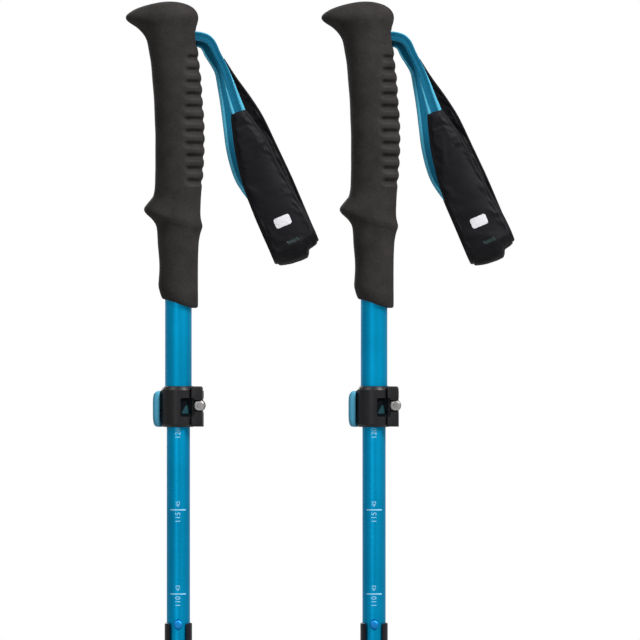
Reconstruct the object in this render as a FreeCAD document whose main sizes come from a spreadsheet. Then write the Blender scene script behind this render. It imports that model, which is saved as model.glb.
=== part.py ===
"""A pair of folding trekking poles.

The origin is the end of the left pole's carbide tip.  +Z runs up the shafts, +X runs from the left
pole to the right one, and -X is the front of each grip.  All sizes are in millimetres.
"""
import FreeCAD, Part
import math
import os
import Sketcher

V = FreeCAD.Vector
UP = V(0, 0, 1)

# Driving sizes.  Heights are measured up from the end of the tip.
SIZES = {
    "pole_spacing": 117.7,
    # tubes
    "upper_radius": 8.0, "upper_bore": 7.2, "upper_bottom": 946.0, "upper_top": 1166.0,
    "slit_width": 1.4, "slit_height": 20.0,
    "inner_radius": 7.0, "inner_bore": 6.2, "inner_bottom": 788.0, "inner_top": 1040.0,
    "guide_radius": 7.14, "guide_root": 20.0, "guide_rim": 4.0,
    "middle_radius": 6.5, "middle_bore": 5.7, "middle_top": 787.7, "middle_bottom": 420.0,
    "lower_radius": 6.0, "lower_bore": 5.2, "lower_top": 419.7, "lower_bottom": 62.0,
    # grip
    "core_radius": 9.0, "core_top": 1188.0, "core_plug": 16.0, "rim_tilt": 14.0,
    "rib_count": 11, "rib_pitch": 7.41, "rib_first": 1091.5, "rib_radius": 1.5, "rib_depth": 1.0,
    "strap_pin_offset": 4.0, "strap_pin_height": 1177.5, "strap_pin_radius": 1.5,
    "strap_pin_length": 17.0, "slot_half_width": 3.2, "slot_height": 10.0,
    # lever clamp
    "collar_bottom": 944.1, "collar_top": 968.7, "collar_radius": 10.4, "ear_root": 7.6,
    "ear_reach": 14.7, "ear_front": 8.9, "ear_back": 3.4, "ear_inset": 0.3, "head_room": 3.5,
    "window_offset": 5.2, "window_height": 954.2, "window_size": 3.9,
    "recess_left": 1.6, "recess_bottom": 950.4, "recess_height": 11.2, "recess_floor": 9.3,
    "screw_height": 956.9, "screw_offset": 12.8, "screw_radius": 1.6, "screw_seat": 6.3,
    "screw_head_radius": 3.15, "screw_head_height": 2.4, "screw_socket": 1.45,
    "screw_socket_depth": 1.5, "screw_length": 16.0, "thread_room": 0.05,
    "washer_thickness": 0.8, "washer_radius": 3.6,
    "pivot_back": 8.6, "pin_radius": 2.0, "pin_room": 0.06, "cam_radius": 4.1, "cam_room": 0.3,
    "lever_bottom": 944.1, "lever_top": 965.7, "lever_inside": 11.0, "lever_outside": 15.4,
    "lever_start": 40.0, "lever_sweep": 156.0, "lever_flat": 15.0, "cam_gap": 4.2,
    # joint sleeve and push-button
    "sleeve_top": 826.2, "sleeve_bottom": 764.0, "sleeve_radius": 8.25, "notch_half_width": 5.0,
    "notch_height": 16.0, "socket_bore": 6.56, "mouth_bevel": 1.2,
    "button_height": 825.6, "button_radius": 2.6, "button_room": 0.12, "button_front": 8.9,
    "button_back": 4.3, "flange_radius": 3.3, "flange_front": 5.1,
    "pocket_radius": 3.5, "pocket_back": 1.9, "leaf_half_span": 3.0, "leaf_thickness": 0.3,
    "leaf_width": 2.4, "leaf_room": 0.05,
    "carriage_radius": 6.15, "carriage_bottom": 817.0, "carriage_top": 838.0,
    # cords, spigots and the second joint
    "cord_radius": 1.25, "cord_bore": 1.5, "spigot_radius": 6.15, "spigot_top": 814.0,
    "spigot_cone": 8.0, "spigot_nose": 3.0, "spigot_root": 30.0,
    "middle_cord_bottom": 482.0, "middle_cord_top": 836.0,
    "ferrule_radius": 7.8, "ferrule_top": 452.0, "ferrule_bottom": 398.0, "ferrule_bore": 6.06,
    "lower_spigot_radius": 5.65, "lower_spigot_top": 446.0, "lower_cord_bottom": 104.0,
    "lower_cord_top": 470.0,
    # tip and basket
    "tip_top": 96.0, "tip_bottom": 12.0, "tip_radius": 7.2, "tip_foot_radius": 4.6,
    "tip_foot_top": 30.0, "tip_seat": 58.0, "tip_bevel": 1.0,
    "carbide_radius": 3.0, "carbide_top": 30.0, "carbide_face": 1.6, "carbide_shoulder": 8.0,
    "basket_bottom": 60.0, "basket_radius": 24.0, "basket_hub": 9.6, "basket_height": 12.0,
    "basket_floor": 2.0, "basket_lip": 3.5, "basket_wall": 2.0, "window_radius": 4.6,
    "window_circle": 16.0, "window_count": 6,
    # wrist strap
    "bend_offset": 22.0, "bend_height": 1166.0, "hang_angle": 67.0, "band": 8.5,
    "webbing": 1.6, "strand_offset": 2.3, "pad_thickness": 4.0, "pad_width": 30.0,
    "pad_front": 9.4, "pad_back": 8.2, "fold_start": 120.0,
    "tail_thickness": 1.4,
}

# Sections of the grip from its lower rim to the crown: height, reach to the front, reach to the
# back and half width.
GRIP_SECTIONS = {
    "rim": (1019.0, 9.9, 11.9, 10.2),
    "swell": (1029.0, 12.0, 11.9, 11.2),
    "waist": (1041.0, 11.5, 11.8, 11.0),
    "calf": (1054.0, 12.4, 12.0, 11.3),
    "flare": (1066.0, 14.6, 14.3, 12.6),
    "spur": (1075.2, 20.6, 13.4, 12.8),
    "oversp": (1083.0, 15.2, 13.7, 12.4),
    "heel": (1092.0, 14.1, 14.4, 12.6),
    "palm": (1115.0, 13.9, 15.9, 13.2),
    "thumb": (1140.8, 14.7, 14.7, 12.9),
    "throat": (1166.0, 17.0, 12.4, 12.2),
    "neck": (1178.0, 19.8, 10.8, 12.2),
    "cheek": (1184.5, 25.2, 10.8, 12.8),
    "beak": (1190.0, 31.6, 11.9, 13.4),
    "brow": (1195.0, 27.0, 10.3, 12.2),
    "crown": (1198.5, 15.3, 4.3, 7.5),
    "summit": (1200.0, 9.0, 0.0, 3.5),
}
for section, values in GRIP_SECTIONS.items():
    for measure, value in zip(("height", "front", "back", "side"), values):
        SIZES[section + "_" + measure] = value

document = FreeCAD.newDocument("trekking_poles")
sheet = document.addObject("Spreadsheet::Sheet", "Sizes")
for row, (word, value) in enumerate(SIZES.items(), start=1):
    sheet.set("A%d" % row, word)
    sheet.set("B%d" % row, str(value))
    sheet.setAlias("B%d" % row, word)
document.recompute()


def size(word):
    """The value of one cell of the sheet."""
    return float(getattr(sheet, word))


def cell(text):
    """An expression in which each word of the sheet is written as its cell."""
    words = text.replace("(", " ( ").replace(")", " ) ").split()
    return " ".join("Sizes." + word if word in SIZES else word for word in words)


def bind(thing, **expressions):
    """Bind the properties of an object to cells; an underscore in a name stands for a dot."""
    for name, text in expressions.items():
        thing.setExpression(name.replace("_", "."), cell(text))
    return thing


# --- turned pieces: one sketch revolved about the pole's axis -------------------------------------

def origin_plane(body, role):
    return next(item for item in body.Origin.OriginFeatures if item.Role == role)


def fix_point(sketch, line, axis, text):
    """Hold the start of a line at a distance from the sketch's origin along one axis."""
    if text == "0":
        other_axis = -2 if axis == "X" else -1
        sketch.addConstraint(Sketcher.Constraint("PointOnObject", line, 1, other_axis))
        return
    start = sketch.Geometry[line].StartPoint
    now = start.x if axis == "X" else start.y
    sketch.addConstraint(Sketcher.Constraint("Distance" + axis, -1, 1, line, 1, now))
    sketch.setExpression("Constraints[%d]" % (sketch.ConstraintCount - 1), cell(text))


def value_of(text):
    """The number that a sheet expression stands for."""
    words = text.replace("(", " ( ").replace(")", " ) ").split()
    total = "".join(str(size(word)) if word in SIZES else word for word in words)
    return arithmetic(total)


def arithmetic(text):
    """Evaluate an expression through FreeCAD's own units parser."""
    return FreeCAD.Units.Quantity(text).Value


def turned(label, outline):
    """A PartDesign body: a closed outline of (radius, height) revolved about the Z axis."""
    body = document.addObject("PartDesign::Body", label)
    body.Label = label
    sketch = body.newObject("Sketcher::SketchObject", label + "_outline")
    sketch.AttachmentSupport = (origin_plane(body, "XZ_Plane"), [""])
    sketch.MapMode = "FlatFace"
    points = [V(value_of(radius), value_of(height), 0) for radius, height in outline]
    for start, end in zip(points, points[1:] + points[:1]):
        sketch.addGeometry(Part.LineSegment(start, end), False)
    count = len(points)
    for line in range(count):
        sketch.addConstraint(Sketcher.Constraint("Coincident", line, 2, (line + 1) % count, 1))
    for line, (radius, height) in enumerate(outline):
        fix_point(sketch, line, "X", radius)
        fix_point(sketch, line, "Y", height)
    revolve = body.newObject("PartDesign::Revolution", label + "_turning")
    revolve.Profile = sketch
    revolve.ReferenceAxis = (sketch, ["V_Axis"])
    revolve.Angle = 360.0
    body.Tip = revolve
    return body


def tube(label, outside, bore, bottom, top):
    """A plain tube."""
    return turned(label, [(bore, bottom), (outside, bottom), (outside, top), (bore, top)])


def rod(label, radius, bottom, top):
    """A plain rod."""
    return turned(label, [("0", bottom), (radius, bottom), (radius, top), ("0", top)])


# --- primitives and booleans ----------------------------------------------------------------------

def helper(kind, label):
    thing = document.addObject(kind, label)
    thing.Label = label
    return thing


def cylinder(label, radius, height, x="0", y="0", z="0", turn=None):
    """A cylinder whose axis runs along Z, or along Y when turned."""
    thing = bind(helper("Part::Cylinder", label), Radius=radius, Height=height)
    if turn:
        thing.Placement = FreeCAD.Placement(V(0, 0, 0), turn)
    return place(thing, x, y, z)


def block(label, length, width, height, x, y, z):
    """A box with its low corner at x, y, z."""
    thing = bind(helper("Part::Box", label), Length=length, Width=width, Height=height)
    return place(thing, x, y, z)


def place(thing, x="0", y="0", z="0"):
    for axis, text in (("x", x), ("y", y), ("z", z)):
        if text != "0":
            thing.setExpression(".Placement.Base." + axis, cell(text))
    return thing


def cut(label, base, *tools):
    """Cut every tool out of the base."""
    for number, tool in enumerate(tools, start=1):
        last = number == len(tools)
        thing = helper("Part::Cut", label if last else "%s_cut%d" % (label, number))
        thing.Base = base
        thing.Tool = tool
        base = thing
    return base


def fuse(label, *shapes):
    thing = helper("Part::MultiFuse", label)
    thing.Shapes = list(shapes)
    thing.Refine = True
    return thing


ALONG_Y = FreeCAD.Rotation(V(1, 0, 0), -90)
TOWARDS_FRONT = FreeCAD.Rotation(V(1, 0, 0), 90)


# --- grip body ------------------------------------------------------------------------------------

def grip_section(prefix, name):
    """One oval of the grip, wider from front to back than across."""
    oval = bind(
        helper("Part::Ellipse", prefix + name + "_oval"),
        MajorRadius="(%s_front + %s_back) / 2" % (name, name),
        MinorRadius=name + "_side",
    )
    return place(oval, x="(%s_back - %s_front) / 2" % (name, name), z=name + "_height")


def grip_loft(label, ovals, ruled):
    loft = helper("Part::Loft", label)
    loft.Sections = ovals
    loft.Solid = True
    loft.Ruled = ruled
    return loft


def grip(prefix):
    """Moulded handle: sleeve, finger spur, ribbed handle and palm head, bored for the shaft."""
    ovals = {name: grip_section(prefix, name) for name in GRIP_SECTIONS}
    tilt = FreeCAD.Rotation(V(0, 1, 0), size("rim_tilt"))
    ovals["rim"].Placement = FreeCAD.Placement(ovals["rim"].Placement.Base, tilt)
    names = list(GRIP_SECTIONS)
    stretches = (("sleeve", 0, 5, False), ("spur", 4, 8, True), ("handle", 7, 12, False),
                 ("head", 11, 17, True))
    lofts = [
        grip_loft(prefix + "grip_" + word, [ovals[name] for name in names[first:last]], ruled)
        for word, first, last, ruled in stretches
    ]
    whole = fuse(prefix + "grip_whole", *lofts)
    bore = cylinder(prefix + "grip_bore", "upper_radius", "upper_top - rim_height + 20",
                    z="rim_height - 20")
    room = cylinder(prefix + "grip_room", "core_radius", "core_top - upper_top", z="upper_top")
    slot = block(prefix + "grip_slot", "core_radius * 2", "slot_half_width * 2", "slot_height",
                 "0", "0 - slot_half_width", "strap_pin_height - slot_height / 2")
    ribs = [rib_groove(prefix, number) for number in range(int(size("rib_count")))]
    return cut(prefix + "grip", whole, bore, room, slot, *ribs)


def rib_groove(prefix, number):
    """A groove across the back of the handle; the back's reach is taken between its sections."""
    height = size("rib_first") + number * size("rib_pitch")
    names = [name for name in GRIP_SECTIONS if name != "rim"]
    below = [name for name in names if size(name + "_height") <= height][-1]
    above = names[names.index(below) + 1]
    low, high = size(below + "_height"), size(above + "_height")
    share = (height - low) / (high - low)
    reach = "%s_back + (%s_back - %s_back) * %.3f + rib_radius - rib_depth" % (
        below, above, below, share)
    groove = cylinder("%sgrip_rib%d" % (prefix, number + 1), "rib_radius", "palm_side * 2",
                      turn=ALONG_Y)
    return place(groove, x=reach, y="0 - palm_side", z="rib_first + rib_pitch * %d" % number)


def grip_core(prefix):
    """Plug and head block in the grip that close the tube and hold the strap's pin."""
    blank = turned(prefix + "core_blank", [
        ("0", "upper_top - core_plug"), ("upper_bore", "upper_top - core_plug"),
        ("upper_bore", "upper_top"), ("core_radius", "upper_top"), ("core_radius", "core_top"),
        ("0", "core_top")])
    slot = block(prefix + "core_slot", "core_radius * 2", "slot_half_width * 2", "slot_height",
                 "strap_pin_offset - slot_half_width", "0 - slot_half_width",
                 "strap_pin_height - slot_height / 2")
    hole = cylinder(prefix + "core_hole", "strap_pin_radius", "strap_pin_length",
                    x="strap_pin_offset", z="strap_pin_height - strap_pin_length / 2")
    return cut(prefix + "grip_core", blank, slot, hole)


def strap_pin(prefix):
    return cylinder(prefix + "strap_pin", "strap_pin_radius", "strap_pin_length",
                    x="strap_pin_offset", z="strap_pin_height - strap_pin_length / 2")


def upper_shaft(prefix):
    """Tube from the clamp to the grip's head, slit so that the collar can squeeze it."""
    blank = tube(prefix + "upper_tube", "upper_radius", "upper_bore", "upper_bottom", "upper_top")
    slit = block(prefix + "upper_slit", "upper_radius * 2", "slit_width", "slit_height",
                 "0", "0 - slit_width / 2", "upper_bottom")
    return cut(prefix + "upper_shaft", blank, slit)


# --- lever clamp ----------------------------------------------------------------------------------

def clamp_collar(prefix):
    """Split collar with a lip under the tube and a pair of ears for the tension screw."""
    blank = turned(prefix + "collar_ring", [
        ("upper_bore", "collar_bottom"), ("collar_radius", "collar_bottom"),
        ("collar_radius", "collar_top"), ("upper_radius", "collar_top"),
        ("upper_radius", "upper_bottom"), ("upper_bore", "upper_bottom")])
    ears = block(prefix + "collar_ears", "ear_reach - ear_root", "ear_front + ear_back",
                 "collar_top - collar_bottom - ear_inset * 2", "ear_root", "0 - ear_front",
                 "collar_bottom + ear_inset")
    shaft_room = cylinder(prefix + "collar_room", "upper_radius",
                          "collar_top - upper_bottom", z="upper_bottom")
    split = block(prefix + "collar_split", "ear_reach", "slit_width", "collar_top - collar_bottom",
                  "ear_root - 2", "0 - slit_width / 2", "collar_bottom")
    head_room = block(prefix + "collar_head_room", "ear_reach", "ear_front", "head_room * 2",
                      "screw_offset - head_room", "0 - screw_seat - ear_front",
                      "screw_height - head_room")
    hole = cylinder(prefix + "collar_hole", "screw_radius + thread_room * 2", "ear_front * 2",
                    x="screw_offset", y="0 - ear_front", z="screw_height", turn=ALONG_Y)
    washer_seat = cylinder(prefix + "collar_washer_seat", "washer_radius", "washer_thickness",
                           x="screw_offset", y="ear_back - washer_thickness / 2",
                           z="screw_height", turn=ALONG_Y)
    window = bind(helper("Part::Prism", prefix + "collar_window"), Circumradius="window_size",
                  Height="collar_radius")
    window.Polygon = 3
    window.Placement = FreeCAD.Placement(V(0, 0, 0), TOWARDS_FRONT)
    place(window, x="window_offset", y="0 - inner_radius / 2", z="window_height")
    whole = fuse(prefix + "collar_whole", blank, ears)
    recess = cut(
        prefix + "collar_recess",
        block(prefix + "recess_block", "screw_offset - head_room - recess_left", "ear_front",
              "recess_height", "recess_left", "0 - screw_seat - ear_front", "recess_bottom"),
        cylinder(prefix + "recess_core", "recess_floor", "recess_height", z="recess_bottom"))
    return cut(prefix + "clamp_collar", whole, shaft_room, split, head_room, hole, washer_seat,
               recess, window)


def clamp_washer(prefix):
    """Wear plate between the back ear and the cam."""
    disc = cylinder(prefix + "washer_disc", "washer_radius", "washer_thickness",
                    x="screw_offset", y="ear_back - washer_thickness / 2", z="screw_height",
                    turn=ALONG_Y)
    hole = cylinder(prefix + "washer_hole", "screw_radius + thread_room", "washer_thickness * 3",
                    x="screw_offset", y="ear_back - washer_thickness", z="screw_height",
                    turn=ALONG_Y)
    return cut(prefix + "clamp_washer", disc, hole)


def lever_pin(prefix):
    """Upright barrel nut: the lever turns on it and the screw threads into it."""
    blank = cylinder(prefix + "pin_blank", "pin_radius", "lever_top - lever_bottom - 1",
                     x="screw_offset", y="pivot_back", z="lever_bottom + 0.5")
    thread = cylinder(prefix + "pin_thread", "screw_radius + thread_room", "pin_radius * 4",
                      x="screw_offset", y="pivot_back - pin_radius * 2", z="screw_height",
                      turn=ALONG_Y)
    return cut(prefix + "lever_pin", blank, thread)


def clamp_lever(prefix):
    """Curved lever round the back of the collar, ending in two cam lobes on the pin."""
    rim = lever_ring(prefix + "lever_rim", "lever_outside")
    inside = cylinder(prefix + "lever_inside", "lever_inside", "lever_top - lever_bottom",
                      z="lever_bottom")
    shell = cut(prefix + "lever_shell", rim, inside)
    lobes = cylinder(prefix + "lever_lobes", "cam_radius", "lever_top - lever_bottom",
                     x="screw_offset", y="pivot_back", z="lever_bottom")
    whole = fuse(prefix + "lever_whole", shell, lobes)
    gap = cylinder(prefix + "lever_gap", "cam_radius + cam_room", "cam_gap * 2",
                   x="screw_offset", y="pivot_back", z="screw_height - cam_gap")
    hole = cylinder(prefix + "lever_hole", "pin_radius + pin_room", "lever_top - lever_bottom",
                    x="screw_offset", y="pivot_back", z="lever_bottom")
    flat = block(prefix + "lever_flat", "cam_radius", "cam_radius * 2",
                 "lever_top - lever_bottom", "lever_flat", "pivot_back - cam_radius",
                 "lever_bottom")
    return cut(prefix + "clamp_lever", whole, gap, hole, flat)


def lever_ring(label, radius):
    """A sector of a disc that starts beside the pin and goes round the back."""
    sector = cylinder(label, radius, "lever_top - lever_bottom", z="lever_bottom")
    sector.Placement = FreeCAD.Placement(
        sector.Placement.Base, FreeCAD.Rotation(UP, size("lever_start")))
    return bind(sector, Angle="lever_sweep")


def clamp_screw(prefix):
    """Tension screw with a socket in its head."""
    head = cylinder(prefix + "screw_head", "screw_head_radius", "screw_head_height",
                    x="screw_offset", y="0 - screw_seat - screw_head_height", z="screw_height",
                    turn=ALONG_Y)
    shank = cylinder(prefix + "screw_shank", "screw_radius", "screw_length", x="screw_offset",
                     y="0 - screw_seat - 0.5", z="screw_height", turn=ALONG_Y)
    whole = fuse(prefix + "screw_whole", head, shank)
    socket = bind(helper("Part::Prism", prefix + "screw_socket"), Circumradius="screw_socket",
                  Height="screw_socket_depth * 2")
    socket.Polygon = 6
    socket.Placement = FreeCAD.Placement(V(0, 0, 0), ALONG_Y)
    place(socket, x="screw_offset",
          y="0 - screw_seat - screw_head_height - screw_socket_depth", z="screw_height")
    return cut(prefix + "clamp_screw", whole, socket)


# --- inner shaft and push-button ------------------------------------------------------------------

def button_bore(label, radius, front, back):
    """A cylinder from the front of the shaft inwards at the button's height."""
    return cylinder(label, radius, "%s - %s" % (front, back), y="0 - " + front,
                    z="button_height", turn=ALONG_Y)


def inner_shaft(prefix):
    blank = tube(prefix + "inner_tube", "inner_radius", "inner_bore", "inner_bottom", "inner_top")
    hole = button_bore(prefix + "inner_hole", "button_radius + button_room", "button_front",
                       "pocket_back")
    return cut(prefix + "inner_shaft", blank, hole)


def shaft_guide(prefix):
    """Plastic plug that centres the top of the inner shaft in the upper one."""
    return turned(prefix + "shaft_guide", [
        ("cord_bore", "inner_top - guide_root"), ("inner_bore", "inner_top - guide_root"),
        ("inner_bore", "inner_top"), ("guide_radius", "inner_top"),
        ("guide_radius", "inner_top + guide_rim"), ("cord_bore", "inner_top + guide_rim")])


def joint_sleeve(prefix):
    """Sleeve bonded on the inner shaft, with a thumb notch and the socket for the next section."""
    blank = turned(prefix + "sleeve_blank", [
        ("inner_radius", "inner_bottom"), ("socket_bore", "inner_bottom"),
        ("socket_bore", "sleeve_bottom + mouth_bevel"),
        ("socket_bore + mouth_bevel / 2", "sleeve_bottom"),
        ("sleeve_radius - 0.4", "sleeve_bottom"),
        ("sleeve_radius", "sleeve_bottom + 0.8"), ("sleeve_radius", "sleeve_top - 0.6"),
        ("sleeve_radius - 0.4", "sleeve_top"), ("inner_radius", "sleeve_top")])
    notch = block(prefix + "sleeve_notch", "notch_half_width * 2", "sleeve_radius",
                  "notch_height + 1", "0 - notch_half_width", "0 - sleeve_radius * 1.2",
                  "sleeve_top - notch_height")
    round_end = cylinder(prefix + "sleeve_notch_end", "notch_half_width", "sleeve_radius",
                         y="0 - sleeve_radius * 1.2", z="sleeve_top - notch_height",
                         turn=ALONG_Y)
    return cut(prefix + "joint_sleeve", blank, notch, round_end)


def cord_carriage(prefix):
    """Slider in the inner shaft: the cord runs through it and the button sits in its pocket."""
    blank = tube(prefix + "carriage_blank", "carriage_radius", "cord_bore", "carriage_bottom",
                 "carriage_top")
    pocket = button_bore(prefix + "carriage_pocket", "pocket_radius", "button_front",
                         "pocket_back")
    return cut(prefix + "cord_carriage", blank, pocket)


def push_button(prefix):
    """Button with a flange that keeps it behind the shaft's wall."""
    stem = button_bore(prefix + "button_stem", "button_radius", "button_front", "button_back")
    flange = button_bore(prefix + "button_flange", "flange_radius", "flange_front", "button_back")
    return fuse(prefix + "push_button", stem, flange)


def button_spring(prefix):
    """Bowed leaf between the bottom of the pocket and the back of the button."""
    foot, crown = -size("pocket_back") - size("leaf_room"), -size("button_back") + size("leaf_room")
    half_span, thick = size("leaf_half_span"), size("leaf_thickness")
    left = -size("leaf_width") / 2
    outside = Part.Arc(V(left, foot, -half_span), V(left, crown, 0), V(left, foot, half_span))
    inside = Part.Arc(V(left, foot, half_span - thick), V(left, crown + thick, 0),
                      V(left, foot, thick - half_span))
    edges = [outside.toShape(), Part.makeLine(outside.EndPoint, inside.StartPoint),
             inside.toShape(), Part.makeLine(inside.EndPoint, outside.StartPoint)]
    leaf = Part.Face(Part.Wire(edges)).extrude(V(size("leaf_width"), 0, 0))
    spring = helper("Part::Feature", prefix + "button_spring")
    spring.Shape = leaf
    spring.Placement = FreeCAD.Placement(V(0, 0, size("button_height")), FreeCAD.Rotation())
    return spring


# --- middle and lower sections --------------------------------------------------------------------

def spigot(label, root_radius, shoulder, nose_radius, nose_top):
    """A bored plug: its root is bonded in one tube and its coned nose enters the tube above."""
    return turned(label, [
        ("cord_bore", shoulder + " - spigot_root"), (root_radius, shoulder + " - spigot_root"),
        (root_radius, shoulder), (nose_radius, shoulder),
        (nose_radius, nose_top + " - spigot_cone"), ("spigot_nose", nose_top),
        ("cord_bore", nose_top)])


def middle_shaft(prefix):
    return tube(prefix + "middle_shaft", "middle_radius", "middle_bore", "middle_bottom",
                "middle_top")


def middle_spigot(prefix):
    return spigot(prefix + "middle_spigot", "middle_bore", "middle_top", "spigot_radius",
                  "spigot_top")


def middle_cord(prefix):
    """Tension cord from above the first joint down the middle section."""
    return rod(prefix + "middle_cord", "cord_radius", "middle_cord_bottom", "middle_cord_top")


def middle_sleeve(prefix):
    """Ferrule bonded on the middle section, with the socket for the lower one."""
    return turned(prefix + "middle_sleeve", [
        ("middle_radius", "middle_bottom"), ("ferrule_bore", "middle_bottom"),
        ("ferrule_bore", "ferrule_bottom + mouth_bevel"),
        ("ferrule_bore + mouth_bevel / 2", "ferrule_bottom"),
        ("ferrule_radius - 0.4", "ferrule_bottom"),
        ("ferrule_radius", "ferrule_bottom + 0.8"), ("ferrule_radius", "ferrule_top - 2"),
        ("middle_radius + 0.6", "ferrule_top"), ("middle_radius", "ferrule_top")])


def lower_shaft(prefix):
    return tube(prefix + "lower_shaft", "lower_radius", "lower_bore", "lower_bottom", "lower_top")


def lower_spigot(prefix):
    return spigot(prefix + "lower_spigot", "lower_bore", "lower_top", "lower_spigot_radius",
                  "lower_spigot_top")


def lower_cord(prefix):
    """Tension cord from above the second joint to the top of the tip."""
    return rod(prefix + "lower_cord", "cord_radius", "lower_cord_bottom", "lower_cord_top")


def tip_body(prefix):
    """Flexible tip moulded over the end of the lower shaft."""
    return turned(prefix + "tip_body", [
        ("0", "carbide_top"), ("carbide_radius", "carbide_top"), ("carbide_radius", "tip_bottom"),
        ("tip_foot_radius", "tip_bottom"), ("tip_foot_radius", "tip_foot_top"),
        ("tip_radius", "tip_seat"), ("tip_radius", "tip_top - tip_bevel"),
        ("tip_radius - tip_bevel", "tip_top"), ("lower_radius", "tip_top"),
        ("lower_radius", "lower_bottom"), ("0", "lower_bottom")])


def carbide_tip(prefix):
    """Hard tip with a small flat end, bonded in the flexible tip."""
    return turned(prefix + "carbide_tip", [
        ("0", "0"), ("carbide_face", "0"), ("carbide_radius", "carbide_shoulder"),
        ("carbide_radius", "carbide_top"), ("0", "carbide_top")])


def basket(prefix):
    """Shallow dish with six windows on a hub that screws on the tip."""
    dish = turned(prefix + "basket_dish", [
        ("tip_radius", "basket_bottom"), ("basket_radius - basket_lip", "basket_bottom"),
        ("basket_radius", "basket_bottom + basket_lip"),
        ("basket_radius - basket_wall", "basket_bottom + basket_lip"),
        ("basket_radius - basket_lip - basket_wall / 2", "basket_bottom + basket_floor"),
        ("basket_hub", "basket_bottom + basket_floor"),
        ("basket_hub", "basket_bottom + basket_height"),
        ("tip_radius", "basket_bottom + basket_height")])
    windows = []
    count = int(size("window_count"))
    for number in range(count):
        angle = math.radians(360.0 * number / count)
        windows.append(cylinder(
            "%sbasket_window%d" % (prefix, number + 1), "window_radius", "basket_height",
            x="window_circle * %.5f" % math.cos(angle), y="window_circle * %.5f" % math.sin(angle),
            z="basket_bottom - 1"))
    return cut(prefix + "basket", dish, *windows)


# --- wrist strap ----------------------------------------------------------------------------------

HANG = math.radians(size("hang_angle"))
DOWN_STRAP = V(math.cos(HANG), 0, -math.sin(HANG))
ACROSS_STRAP = V(math.sin(HANG), 0, math.cos(HANG))
BACKWARDS = V(0, 1, 0)


def strap_point(down, across, back):
    """A point of the hanging strap, measured from the bend below the grip's slot."""
    bend = V(size("bend_offset"), 0, size("bend_height"))
    return bend + DOWN_STRAP * down + ACROSS_STRAP * across + BACKWARDS * back


def ribbon(stations):
    """A flat band through stations of (centre, across, through, width, thickness)."""
    sections = []
    for centre, across, through, width, thickness in stations:
        half_width = across * (width / 2)
        half_thick = through * (thickness / 2)
        corners = [centre - half_width - half_thick, centre + half_width - half_thick,
                   centre + half_width + half_thick, centre - half_width + half_thick]
        sections.append(Part.makePolygon(corners + corners[:1]))
    return Part.makeLoft(sections, True, True)


def soft_piece(label, shape):
    thing = helper("Part::Feature", label)
    thing.Shape = shape
    return thing


# Where the strands turn down outside the grip: distance behind the pole's axis, height, and how
# far the webbing has turned down by there, in degrees.
NECK_BEND = ((12.0, 1177.5, 0.0), (16.2, 1176.3, 30.0), (18.4, 1174.3, 52.0),
             (19.65, 1171.5, 67.0))
# Routes on the hanging strap: distance down it, across it, and towards the back.
WEBBING_ROUTE = ((2.0, 0.0, -2.3), (14.0, 0.2, -5.0), (36.0, 0.2, -9.4))
TAIL_ROUTE = ((3.0, 0.2, 0.4), (18.0, -1.9, 1.5), (30.0, -5.0, 2.6), (42.0, -8.2, 3.5),
              (53.0, -11.2, 4.2), (63.0, -12.9, 4.8), (72.0, -13.5, 5.1), (90.0, -9.8, 5.3))
# The padded sleeve's two layers: distance down the strap, across it, and width.
PAD_FRONT_LAYER = ((36.0, 0.2, 9.5), (46.0, -0.2, 15.5), (58.0, -0.7, 20.8), (77.0, -2.1, 24.6),
                   (95.0, -1.8, 27.0), (110.0, -0.6, 29.4))
PAD_BACK_LAYER = ((104.0, -0.3, 30.0), (84.0, -0.3, 29.9), (63.0, 0.0, 27.8), (44.0, 1.2, 24.0),
                  (31.0, 1.7, 18.8), (20.0, 1.7, 13.6))
PAD_TOP = (2.5, 1.5, 4.4, 7.8)
FOLD_STEP = 30
FOLD_DEPTH = 0.8


def strap_neck(prefix):
    """Webbing round the pin and out through the slot as two strands that turn downwards."""
    pin_height = size("strap_pin_height")
    bend = ((size("strap_pin_offset"), pin_height, 0.0),) + NECK_BEND
    strands = []
    for side in (-1, 1):
        stations = []
        for offset, height, turn in bend:
            angle = math.radians(turn)
            stations.append((
                V(offset, side * size("strand_offset"), height),
                V(math.sin(angle), 0, math.cos(angle)), BACKWARDS, size("band"),
                size("webbing")))
        strands.append(ribbon(stations))
    at_pin = V(size("strap_pin_offset"), 0, pin_height - size("band") / 2)
    outside = Part.makeCylinder(size("strand_offset") + size("webbing") / 2, size("band"), at_pin,
                                UP, 180)
    inside = Part.makeCylinder(size("strand_offset") - size("webbing") / 2, size("band"), at_pin)
    outside.rotate(at_pin, UP, 90)
    return soft_piece(prefix + "strap_neck", strands[0].fuse([strands[1], outside.cut(inside)]))


def strap_webbing(prefix):
    """Front strand from the bend down to the padded sleeve."""
    return soft_piece(prefix + "strap_webbing", flat_strand(WEBBING_ROUTE, size("webbing")))


def strap_tail(prefix):
    """Other strand of the loop, which bows towards the shaft and ends inside the sleeve."""
    return soft_piece(prefix + "strap_tail", flat_strand(TAIL_ROUTE, size("tail_thickness")))


def flat_strand(route, thickness):
    """Webbing of the strap's width along a route, with its face to the front."""
    return ribbon([(strap_point(*point), ACROSS_STRAP, BACKWARDS, size("band"), thickness)
                   for point in route])


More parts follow.
